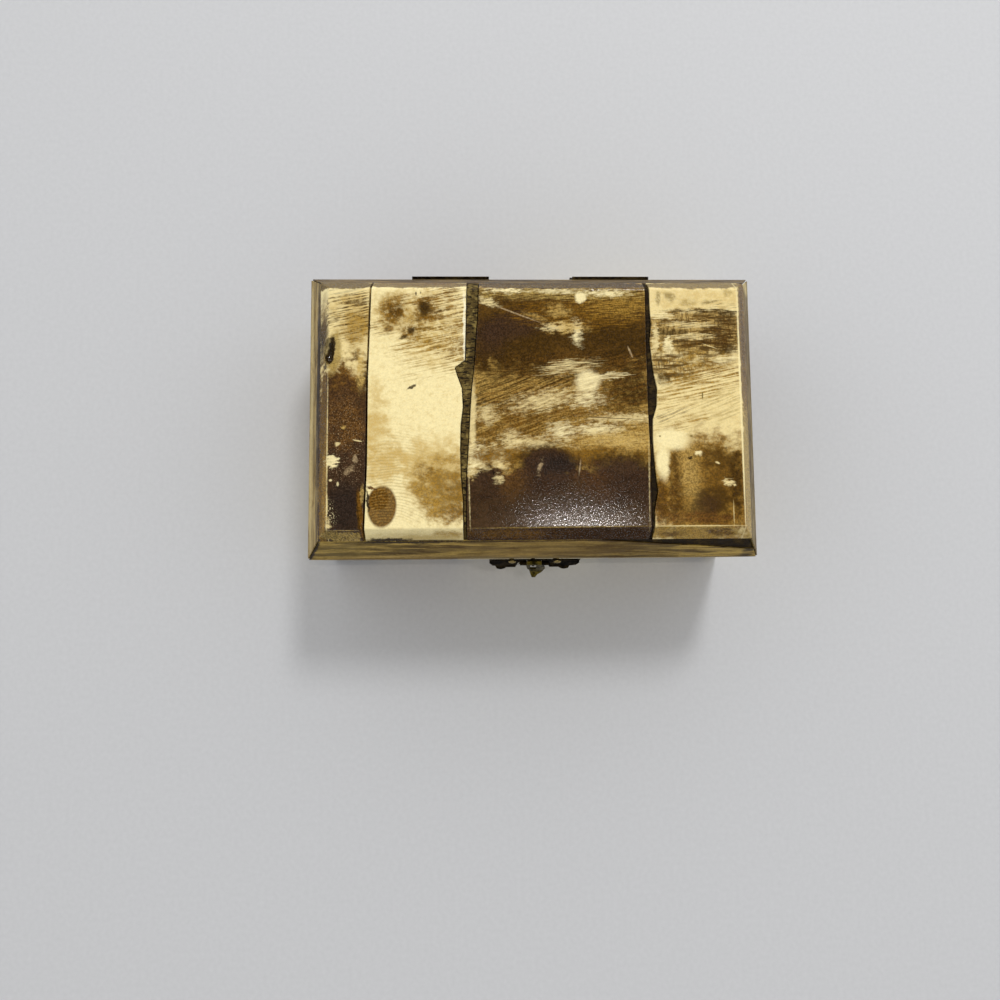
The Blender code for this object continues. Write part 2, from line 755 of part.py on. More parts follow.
def drill_carcass():
    drill(("bone_back_left", "bone_back_right", "wall_back"), "back_body_holes")
    drill(("rim_strip_back", "lid_rail_back"), "back_lid_holes")
    drill(("bone_front_middle", "wall_front"), "front_body_holes")
    drill(("bone_front_middle", "wall_front"), "staple_holes")
    drill(("rim_strip_front", "lid_rail_front"), "front_lid_holes")


def hasp_plate_stations(width, middle_shares):
    """Places along half a butterfly plate, from its middle: x, then height and flare shares."""
    waist_half = NAIL_HEAD_RADIUS + FIT_GAP
    waist_start = HASP_NAIL_SPREAD / 2 - waist_half
    waist_end = HASP_NAIL_SPREAD / 2 + waist_half
    stations = []
    for step in range(MIDDLE_STEPS + 1):
        share = step / MIDDLE_STEPS
        stations.append((share * waist_start, *blended(middle_shares, share)))
    for step in range(WING_STEPS + 1):
        share = step / WING_STEPS
        x = waist_end + share * (width / 2 - waist_end)
        stations.append((x, *blended(WING_SHARES, share)))
    return stations


def hasp_plate(name, width, height, flare, middle_z, middle_shares):
    """A butterfly plate of thin sheet: flat where it is nailed, and flared outwards along its foot."""
    back = FIT_GAP
    front = back + PLATE_WEB
    bend = HASP_NAIL_LIFT - NAIL_HEAD_RADIUS - FIT_GAP
    edge = PLATE_EDGE_SHARE * PLATE_WEB
    half_plate = hasp_plate_stations(width, middle_shares)
    mirrored = [(-x, *rest) for x, *rest in reversed(half_plate[1:])]
    rings = []
    for x, height_share, flare_share in mirrored + half_plate:
        half = height_share * height / 2
        reach = flare_share * flare
        section = [
            (back, half), (back, bend - edge), (back + reach, -half), (front + reach, edge - half),
            (front, bend), (front, half - edge), (front - edge, half),
        ]
        rings.append([out_from("front", HASP_OFFSET + x, out, middle_z + z) for out, z in section])
    return loft(name, rings, "aged_brass")


def hasp_rod(name, half_length, radius, steps=ROUND_STEPS, finish=None):
    """A rod along the tongue's axis, centred on the hasp."""
    ends = [
        out_from("front", HASP_OFFSET + sense * half_length, HASP_AXIS_REACH, HASP_Z)
        for sense in (-1, 1)
    ]
    return rods(name, [ends], radius, steps, finish)


def make_lid_plate():
    """The lid's plate, with an ear on each side of the notch that the tongue's knuckle turns in."""
    plate = hasp_plate(
        "hasp_lid_plate", LID_PLATE_WIDTH, LID_PLATE_HEIGHT, LID_PLATE_FLARE, lid_plate_z(),
        LID_MIDDLE_SHARES,
    )
    notch_half = TONGUE_KNUCKLE_WIDTH / 2 + FIT_GAP
    notch_top = HASP_Z + HASP_KNUCKLE_RADIUS + FIT_GAP
    ears_half = notch_half + HASP_EAR_WIDTH
    notch_outline = rectangle(
        HASP_OFFSET - notch_half, HASP_Z - LID_PLATE_HEIGHT, HASP_OFFSET + notch_half, notch_top
    )
    notch = prism(
        "hasp_notch", notch_outline, "front",
        CUT_OVERRUN - HALF_DEPTH, -HALF_DEPTH - HASP_AXIS_REACH - CUT_OVERRUN,
    )
    combine(plate, hasp_rod("hasp_ears", ears_half, HASP_KNUCKLE_RADIUS), "UNION")
    combine(plate, notch, "DIFFERENCE")
    bore = hasp_rod("hasp_bore", ears_half + CUT_OVERRUN, HASP_PIN_RADIUS + FIT_GAP)
    combine(plate, bore, "DIFFERENCE")
    combine(plate, bpy.data.objects["front_lid_holes"], "DIFFERENCE")
    shade_round(hasp_rod("hasp_pin", ears_half, HASP_PIN_RADIUS, SMALL_STEPS, "bright_brass"))


def make_body_plate():
    plate = hasp_plate(
        "hasp_body_plate", BODY_PLATE_WIDTH, BODY_PLATE_HEIGHT, BODY_PLATE_FLARE, body_plate_z(),
        BODY_MIDDLE_SHARES,
    )
    combine(plate, bpy.data.objects["front_body_holes"], "DIFFERENCE")
    combine(plate, bpy.data.objects["staple_holes"], "DIFFERENCE")


def make_staple():
    """A bent wire loop that stands upright on the body plate, with its legs in the wall."""
    (low_z, high_z), inside = staple_legs()
    route = [out_from("front", HASP_OFFSET, inside, low_z)]
    for step in range(SMALL_STEPS + 1):
        angle = math.pi * step / SMALL_STEPS
        out = STAPLE_STAND + STAPLE_RADIUS * math.sin(angle)
        route.append(out_from("front", HASP_OFFSET, out, STAPLE_Z - STAPLE_RADIUS * math.cos(angle)))
    route.append(out_from("front", HASP_OFFSET, inside, high_z))
    curve = bpy.data.curves.new("hasp_staple", "CURVE")
    curve.dimensions = "3D"
    spline = curve.splines.new("POLY")
    spline.points.add(len(route) - 1)
    for point, place in zip(spline.points, route):
        point.co = (*place, 1.0)
    curve.bevel_depth = STAPLE_WIRE / 2
    curve.bevel_resolution = 2
    curve.use_fill_caps = True
    curve.materials.append(finish_material("aged_brass"))
    staple = bpy.data.objects.new("hasp_staple", curve)
    bpy.context.scene.collection.objects.link(staple)


def tongue_stations():
    """Places down the tongue's middle line: outward reach, drop, lean, width and sideways shift.

    The strap leans a little to one side, and its lip comes back towards the middle.
    """
    neck = TONGUE_NECK_SHARE * TONGUE_STRAIGHT
    shoulder = TONGUE_SHOULDER_SHARE * TONGUE_STRAIGHT
    slot_end = STAPLE_DROP + slot_half_length()
    stations = [
        (0, 0, 0, TONGUE_KNUCKLE_WIDTH, 0), (0, neck, 0, TONGUE_KNUCKLE_WIDTH, 0),
        (0, shoulder, 0, TONGUE_WIDTH, TONGUE_SHOULDER_SHARE * TONGUE_SKEW),
        (0, slot_end, 0, TONGUE_WIDTH, slot_end / TONGUE_STRAIGHT * TONGUE_SKEW),
    ]
    for step in range(LIP_STEPS + 1):
        share = step / LIP_STEPS
        angle = share * TONGUE_LIP_ANGLE
        width_share, shift_share = blended(LIP_WIDTH_SHARES, share)
        stations.append((
            TONGUE_LIP_RADIUS * (1 - math.cos(angle)),
            TONGUE_STRAIGHT + TONGUE_LIP_RADIUS * math.sin(angle),
            angle, width_share * TONGUE_WIDTH, shift_share * TONGUE_WIDTH,
        ))
    return stations


def slot_half_length():
    return STAPLE_RADIUS + STAPLE_WIRE / 2 + GLUE_GAP


def make_tongue():
    """The hinged tongue: a knuckle, a slotted strap and a finger lip that curls outwards."""
    axis = bpy.data.objects.new("hasp_axis", None)
    bpy.context.scene.collection.objects.link(axis)
    axis.location = out_from("front", HASP_OFFSET, HASP_AXIS_REACH, HASP_Z)
    axis.rotation_euler.x = -TONGUE_REST_ANGLE
    half = TONGUE_THICKNESS / 2
    rings = []
    for out, drop, lean, width, shift in tongue_stations():
        normal = Vector((0, -math.cos(lean), math.sin(lean)))
        middle = Vector((shift, -out, -drop))
        side = Vector((width / 2, 0, 0))
        rings.append([
            middle - side - half * normal, middle + side - half * normal,
            middle + side + half * normal, middle - side + half * normal,
        ])
    tongue = loft("hasp_tongue", rings, "aged_brass")
    soften(tongue, TONGUE_THICKNESS * SOFT_EDGE_SHARE)
    knuckle_half = TONGUE_KNUCKLE_WIDTH / 2
    knuckle = rods(
        "tongue_knuckle", [((-knuckle_half, 0, 0), (knuckle_half, 0, 0))], HASP_KNUCKLE_RADIUS
    )
    bore = rods(
        "tongue_bore", [((-TONGUE_WIDTH, 0, 0), (TONGUE_WIDTH, 0, 0))], HASP_PIN_RADIUS + FIT_GAP
    )
    slot_half = slot_half_length()
    slot_outline = rectangle(
        -TONGUE_SLOT_WIDTH / 2, -STAPLE_DROP - slot_half, TONGUE_SLOT_WIDTH / 2,
        slot_half - STAPLE_DROP,
    )
    slot = prism("tongue_slot", slot_outline, "front", -TONGUE_WIDTH, TONGUE_WIDTH)
    for helper, operation in ((knuckle, "UNION"), (bore, "DIFFERENCE"), (slot, "DIFFERENCE")):
        combine(tongue, helper, operation)
        helper.parent = axis
    tongue.parent = axis


def build():
    clear_scene()
    make_holes()
    make_base()
    make_walls()
    make_body_facing()
    make_lid_rim()
    make_lid_frame()
    make_top_plates()
    make_top_fillers()
    make_front_patch()
    drill_carcass()
    for side, x in HINGE_PLACES:
        make_hinge(side, x)
    make_nails()
    make_lid_plate()
    make_body_plate()
    make_staple()
    make_tongue()


build()
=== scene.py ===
import math

import bmesh
import bpy
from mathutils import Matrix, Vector


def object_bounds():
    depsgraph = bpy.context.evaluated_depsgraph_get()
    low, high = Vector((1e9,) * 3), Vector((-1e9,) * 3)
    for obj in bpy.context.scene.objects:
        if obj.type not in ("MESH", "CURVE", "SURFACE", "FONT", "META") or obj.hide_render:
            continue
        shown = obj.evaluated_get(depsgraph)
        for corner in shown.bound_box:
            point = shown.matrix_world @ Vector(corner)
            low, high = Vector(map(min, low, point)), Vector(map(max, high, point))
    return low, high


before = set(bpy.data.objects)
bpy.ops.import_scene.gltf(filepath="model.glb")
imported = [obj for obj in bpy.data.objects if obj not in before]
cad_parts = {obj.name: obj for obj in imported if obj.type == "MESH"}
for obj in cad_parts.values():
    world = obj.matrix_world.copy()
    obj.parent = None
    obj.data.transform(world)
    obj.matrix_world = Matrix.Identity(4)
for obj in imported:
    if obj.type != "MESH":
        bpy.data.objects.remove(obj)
cad_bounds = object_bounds()

MM = 0.001
# The height of the lid's top plates, in metres, where every mark is centred.
TOP = cad_bounds[1][2]

# How a node turns one range into another, and how two colours meet.
SMOOTH = {"interpolation_type": "SMOOTHSTEP", "clamp": False}
COLOURS = {"data_type": "RGBA", "blend_type": "MIX"}
MULTIPLIED = {"data_type": "RGBA", "blend_type": "MULTIPLY"}

# Bone, which is a mineral bound by collagen, bends light about as much as horn or ivory does.
BONE_IOR = 1.54
# Handling has rounded the ridges of the bone to this radius, in millimetres.
RIDGE_EASE = 0.3
# A mark narrower than this, in millimetres, is a scored line and keeps its drawn edge.
THIN_MARK = 0.25

# Real sizes of the patterns, in millimetres. A hand saw's teeth leave scores this far apart.
SAW_SCORE = 0.42
# The scratches of fine sandpaper are about 0.05 wide, too fine to show, so they are drawn coarser.
SCRATCH = 0.35
# Bone dust and specks of wax are about 0.1 wide, also too fine, and drawn coarser.
DUST = 0.3
WAX_SPECK = 0.26
# The pores of bone are about 0.1 wide and are drawn twice as wide.
PORE_WIDTH = 0.2
PORE_LENGTH = 1.5
# The middle of the growth rings of the plates' bone.
RINGS_X = -31
RINGS_Y = -34

# The patterns of sanded bone: length and width of their marks in millimetres, lean in degrees, detail,
# roughness, and what is added to the plate's seed.
BONE_PATTERNS = {
    "fine": (SCRATCH, SCRATCH, 0, 2.0, 0.6, 3),
    "blotch": (1.3, 1.0, 0, 4.0, 0.75, 0),
    "sawn": (6.5, SAW_SCORE, 12, 3.0, 0.6, 7),
    "raked": (7.0, SAW_SCORE, 22, 3.0, 0.6, 11),
    "level": (4.0, 0.5, 1, 3.0, 0.6, 13),
    "upright": (0.45, 2.6, 1, 3.0, 0.6, 17),
    "brushed": (3.2, 0.24, 3, 3.0, 0.6, 19),
    "cloud": (2.6, 1.9, 0, 5.0, 0.6, 23),
    "dust": (WAX_SPECK, WAX_SPECK, 0, 1.0, 0.6, 25),
    "flake": (1.8, 0.6, 6, 5.0, 0.7, 21),
}

# The studio, in metres and watts.
FLOOR_HALF_WIDTH = 1.5
PAPER_GRAINS_PER_METRE = 900.0
SKY_ROUND = 1.2
SKY_OVERHEAD = 0.12
SKY_FRONT = 0.7
SKY_BACK = 1.3
LAMP_PLACE = (0.22, 0.62, 0.80)
LAMP_WIDTH = 0.2
LAMP_POWER = 4.4
GLINT_PLACE = (0.124, 0.005, 0.90)
GLINT_WIDTH = 0.15
GLINT_DEPTH = 0.015
GLINT_POWER = 0.65
GLINT_TINT = (1.0, 0.93, 0.87)

# The camera, fitted to the corners of the lid in the photograph: sensor and lens in millimetres.
CAMERA_PLACE = (-0.01156, -0.03266, 0.19648)
CAMERA_FORWARD = (0.02445, 0.08271, -0.99627)
CAMERA_UP = (0.00605, 0.99654, 0.08288)
SENSOR_WIDTH = 36.0
FOCAL_LENGTH = 26.946
NEAREST_SEEN = 0.01

# The ground, the stain and the deep stain of the facings, in three shades.
BROWN_BONE = ("D2BA7C", "7A5828", "3A281A")
CREAM_BONE = ("EBDBA4", "B4935A", "7A5420")
TAN_BONE = ("DFCB90", "9A7A40", "4C330F")

# Tones of camel bone that has been smoked, stained and sanded back.
TONES = {
    "cream": "EADAA3",
    "pale": "F6F0D2",
    "ivory": "DFCB90",
    "straw": "BFA059",
    "fleck": "A08A66",
    "halo": "9A8246",
    "tan": "957430",
    "amber": "6C4B12",
    "olive": "66562A",
    "caramel": "7A5420",
    "oval": "634313",
    "oliveskin": "6E5218",
    "midtan": "9C7E40",
    "back_brown": "564218",
    "back_tan": "6E5A2E",
    "back_dark": "423010",
    "bevel_brown": "6E5630",
    "bevel_tan": "927E4C",
    "khaki": "A08C54",
    "bevel_dark": "321D05",
    "rust": "5A3A18",
    "brown": "4C330F",
    "umber": "38260A",
    "plum": "3A281A",
    "char": "2A1A0C",
    "nick": "4B3E26",
    "soot": "241D19",
    "pit": "22160A",
}

# Each mark is one patch of colour on a plate: its texture, its tone, its place and half
# sizes in millimetres, its lean in degrees, the softness of its edge as a share of its size, and how
# strongly it covers.
PLATE_1_MARKS = (
    ("cloudy", "straw", -38.1, 20.3, 3.93, 5.54, 16, 0.4, 0.8),
    ("sawn", "brown", -39.5, 20.3, 4.62, 5.66, 16, 0.25, 0.95),
    ("sawn", "umber", -37.9, 18.6, 2.54, 2.77, 16, 0.4, 0.7),
    ("cloudy", "tan", -37.9, 16.7, 3.0, 3.47, 0, 0.7, 0.8),
    ("plain", "cream", -40.3, 25.4, 4.16, 1.16, 5, 0.5, 0.6),
    ("cloudy", "amber", -39.9, 2.0, 10.4, 8.32, 0, 0.35, 0.95),
    ("plain", "brown", -39.8, -14.9, 10.4, 23.28, 0, 0.1, 0.92),
    ("cloudy", "umber", -39.9, -6.9, 10.4, 12.47, 0, 0.5, 0.8),
    ("mottled", "caramel", -40.0, 4.7, 3.33, 3.74, 0, 0.5, 0.6),
    ("plain", "plum", -39.9, -19.5, 10.4, 24.53, 0, 0.15, 0.95),
    ("cloudy", "caramel", -40.0, -3.4, 4.39, 5.31, 0, 0.5, 0.4),
    ("specks", "fleck", -40.0, -7.7, 4.39, 9.7, 0, 0.3, 0.6),
    ("mottled", "straw", -36.9, 7.4, 0.81, 3.93, 0, 0.4, 0.8),
    ("plain", "soot", -40.1, -21.2, 3.47, 5.31, 0, 0.5, 0.75),
    ("plain", "oliveskin", -44.9, -13.5, 1.06, 21.25, 0, 0.1, 0.95),
    ("cloudy", "brown", -45.0, -3.8, 0.83, 15.59, 0, 0.5, 0.6),
    ("cloudy", "tan", -44.4, -17.4, 0.62, 9.36, 0, 0.5, 0.7),
    ("plain", "cream", -45.2, 24.7, 1.16, 3.47, 0, 0.3, 0.9),
    ("plain", "umber", -45.1, 16.3, 1.14, 4.16, 0, 0.5, 0.95),
    ("plain", "pit", -45.6, 12.8, 0.52, 3.12, 0, 0.5, 0.7),
    ("plain", "soot", -44.4, 9.1, 0.32, 1.16, 0, 0.3, 0.9),
    ("mottled", "ivory", -43.8, -12.2, 0.15, 19.75, 0, 0.5, 0.85),
    ("plain", "halo", -42.7, 11.7, 1.73, 4.27, -8, 0.25, 0.85),
    ("plain", "pit", -43.3, 12.2, 1.11, 2.82, -10, 0.15, 0.97),
    ("mottled", "straw", -40.6, -4.4, 0.51, 0.46, 0, 0.5, 0.7),
    ("plain", "ivory", -41.7, -7.8, 0.42, 0.55, -30, 0.4, 0.8),
    ("flaked", "cream", -42.9, -11.4, 1.29, 1.29, 0, 0.4, 0.97),
    ("plain", "fleck", -37.9, -10.9, 0.51, 0.79, 0, 0.5, 0.8),
    ("mottled", "fleck", -39.1, -13.2, 1.39, 0.51, 35, 0.5, 0.8),
    ("plain", "ivory", -37.5, -7.1, 0.97, 0.14, -12, 0.3, 0.85),
    ("plain", "cream", -43.0, -15.4, 0.32, 0.23, 0, 0.4, 0.8),
    ("plain", "cream", -41.5, -16.2, 0.23, 0.42, 0, 0.4, 0.7),
    ("specks", "cream", -43.0, -22.1, 1.27, 2.31, 15, 0.5, 0.95),
    ("flaked", "ivory", -43.7, -20.6, 0.21, 2.08, 0, 0.5, 0.8),
    ("flaked", "ivory", -43.5, -24.7, 0.47, 1.14, 0, 0.5, 0.8),
    ("cloudy", "halo", -40.5, -27.1, 4.62, 1.11, 0, 0.2, 0.97),
    ("plain", "straw", -40.3, -25.9, 3.33, 0.1, 0, 0.5, 0.5),
    ("mottled", "olive", -43.5, -26.9, 1.85, 0.92, 0, 0.4, 0.7),
    ("plain", "oval", -36.8, -22.8, 0.6, 4.97, 4, 0.2, 0.95),
    ("plain", "umber", -37.1, -23.9, 0.18, 4.39, 6, 0.4, 0.8),
    ("mottled", "straw", -36.4, -18.6, 0.32, 1.62, 0, 0.4, 0.6),
    ("plain", "back_brown", -41, 27.1, 8, 1.35, 0, 0.15, 0.95),
    ("plain", "pit", -46.15, 14, 0.24, 13, 0, 0.4, 0.9),
    ("cloudy", "bevel_brown", -45.1, 20.9, 0.83, 3.12, 0, 0.6, 0.7),
)
PLATE_2_MARKS = (
    ("plain", "pit", -35.9, 0, 0.16, 29, -1.33, 0.5, 0.85),
    ("mottled", "straw", -20.8, 17.5, 6.93, 7.62, 12, 0.5, 0.75),
    ("mottled", "straw", -28.8, 19.9, 6.01, 5.31, 12, 0.5, 0.6),
    ("sawn", "amber", -18.7, 17.2, 4.97, 7.16, 12, 0.3, 0.9),
    ("sawn", "tan", -24.1, 13.4, 5.08, 3.0, 12, 0.5, 0.75),
    ("sawn", "amber", -20.6, 23.5, 4.85, 1.39, 10, 0.4, 0.8),
    ("sawn", "amber", -18.0, 25.2, 2.77, 0.69, 5, 0.4, 0.7),
    ("sawn", "tan", -20.6, 8.6, 6.01, 1.85, 12, 0.5, 0.6),
    ("mottled", "tan", -30.5, 23.8, 3.0, 0.92, 5, 0.5, 0.6),
    ("mottled", "tan", -29.9, 20.6, 3.47, 3.23, 0, 0.45, 0.8),
    ("mottled", "amber", -29.9, 20.6, 2.43, 2.31, 0, 0.45, 0.97),
    ("mottled", "brown", -29.6, 20.9, 1.39, 1.39, 0, 0.6, 0.8),
    ("sawn", "amber", -28.8, 23.1, 3.47, 0.92, 12, 0.4, 0.8),
    ("mottled", "amber", -23.5, 20.9, 2.54, 2.89, 10, 0.45, 0.85),
    ("plain", "umber", -23.5, 21.2, 1.27, 1.66, 10, 0.5, 0.95),
    ("plain", "umber", -25.3, 24.5, 0.18, 0.42, 0, 0.4, 0.8),
    ("plain", "umber", -24.3, 24.7, 0.18, 0.23, 0, 0.4, 0.7),
    ("mottled", "brown", -20.6, 20.6, 2.08, 0.46, 10, 0.4, 0.85),
    ("mottled", "amber", -21.3, 19.2, 2.66, 0.69, 8, 0.5, 0.8),
    ("mottled", "amber", -26.5, 16.3, 2.19, 1.96, 35, 0.5, 0.85),
    ("plain", "umber", -26.2, 16.5, 0.83, 0.65, 20, 0.45, 0.95),
    ("plain", "umber", -28.0, 15.1, 0.83, 0.37, 20, 0.5, 0.8),
    ("sawn", "tan", -26.4, 13.4, 3.93, 1.27, 10, 0.5, 0.8),
    ("plain", "amber", -31.0, 16.8, 1.11, 0.6, 15, 0.5, 0.85),
    ("sawn", "amber", -32.3, 17.2, 2.89, 1.39, 12, 0.4, 0.8),
    ("plain", "nick", -26.3, 4.2, 1.06, 0.28, 28, 0.35, 0.95),
    ("mottled", "rust", -21.3, 26.6, 6.7, 0.32, -1, 0.4, 0.8),
    ("plain", "pale", -15.0, 17.0, 0.32, 7.62, 0, 0.4, 0.7),
    ("mottled", "straw", -33.9, 2.7, 1.39, 3.47, 0, 0.5, 0.5),
    ("cloudy", "straw", -33.8, -5.3, 2.77, 6.01, 0, 0.6, 0.9),
    ("cloudy", "straw", -32.3, -11.9, 4.62, 3.47, 0, 0.6, 0.8),
    ("mottled", "straw", -35.1, -15.2, 1.39, 1.16, 0, 0.5, 0.5),
    ("growth", "amber", -28.2, -14.7, 8.32, 8.78, 0, 0.5, 0.28),
    ("cloudy", "straw", -22.1, -11.2, 7.39, 4.62, 0, 0.6, 0.8),
    ("plain", "straw", -20.7, -15.7, 6.01, 5.54, -10, 0.45, 0.6),
    ("cloudy", "tan", -19.8, -16.9, 5.54, 5.54, -10, 0.6, 0.95),
    ("cloudy", "tan", -18.4, -21.3, 4.16, 3.93, -10, 0.6, 0.9),
    ("cloudy", "amber", -18.9, -18.5, 4.62, 5.08, -10, 0.6, 0.5),
    ("mottled", "amber", -23.3, -13.5, 2.08, 1.39, 0, 0.5, 0.6),
    ("mottled", "amber", -17.7, -17.1, 1.62, 1.85, 0, 0.5, 0.55),
    ("mottled", "tan", -23.5, -18.0, 2.77, 1.39, -20, 0.5, 0.7),
    ("mottled", "tan", -20.8, -20.8, 2.54, 2.08, -35, 0.5, 0.7),
    ("mottled", "amber", -17.5, -22.5, 2.31, 1.85, 10, 0.5, 0.75),
    ("even", "oval", -32.3, -21.0, 3.0, 4.34, -4, 0.1, 0.97),
    ("even", "oval", -33.0, -19.4, 2.08, 2.31, -4, 0.12, 0.97),
    ("growth", "straw", -32.3, -21.0, 2.59, 4.07, -4, 0.2, 0.22),
    ("plain", "rust", -34.4, -17.1, 1.27, 0.28, -20, 0.3, 0.95),
    ("plain", "pit", -35.3, -19.8, 0.25, 2.31, 3, 0.3, 0.95),
    ("plain", "cream", -25.4, -26.0, 10.16, 0.51, 2, 0.5, 0.6),
    ("mottled", "tan", -18.5, -26.7, 3.23, 0.58, -3, 0.5, 0.8),
    ("plain", "straw", -25.4, -27.6, 10.16, 0.58, 2, 0.5, 0.5),
    ("plain", "khaki", -25, -28.5, 13, 2.0, 0, 0.5, 0.6),
    ("plain", "pit", -31.2, -27.85, 4.6, 0.42, 0, 0.3, 0.97),
    ("plain", "pit", -22, -28.05, 8, 0.2, 0, 0.3, 0.9),
    ("plain", "back_tan", -25, 27.2, 14, 1.3, 0, 0.2, 0.95),
    ("mottled", "rust", -22, 27.4, 9, 0.5, 0, 0.4, 0.6),
)
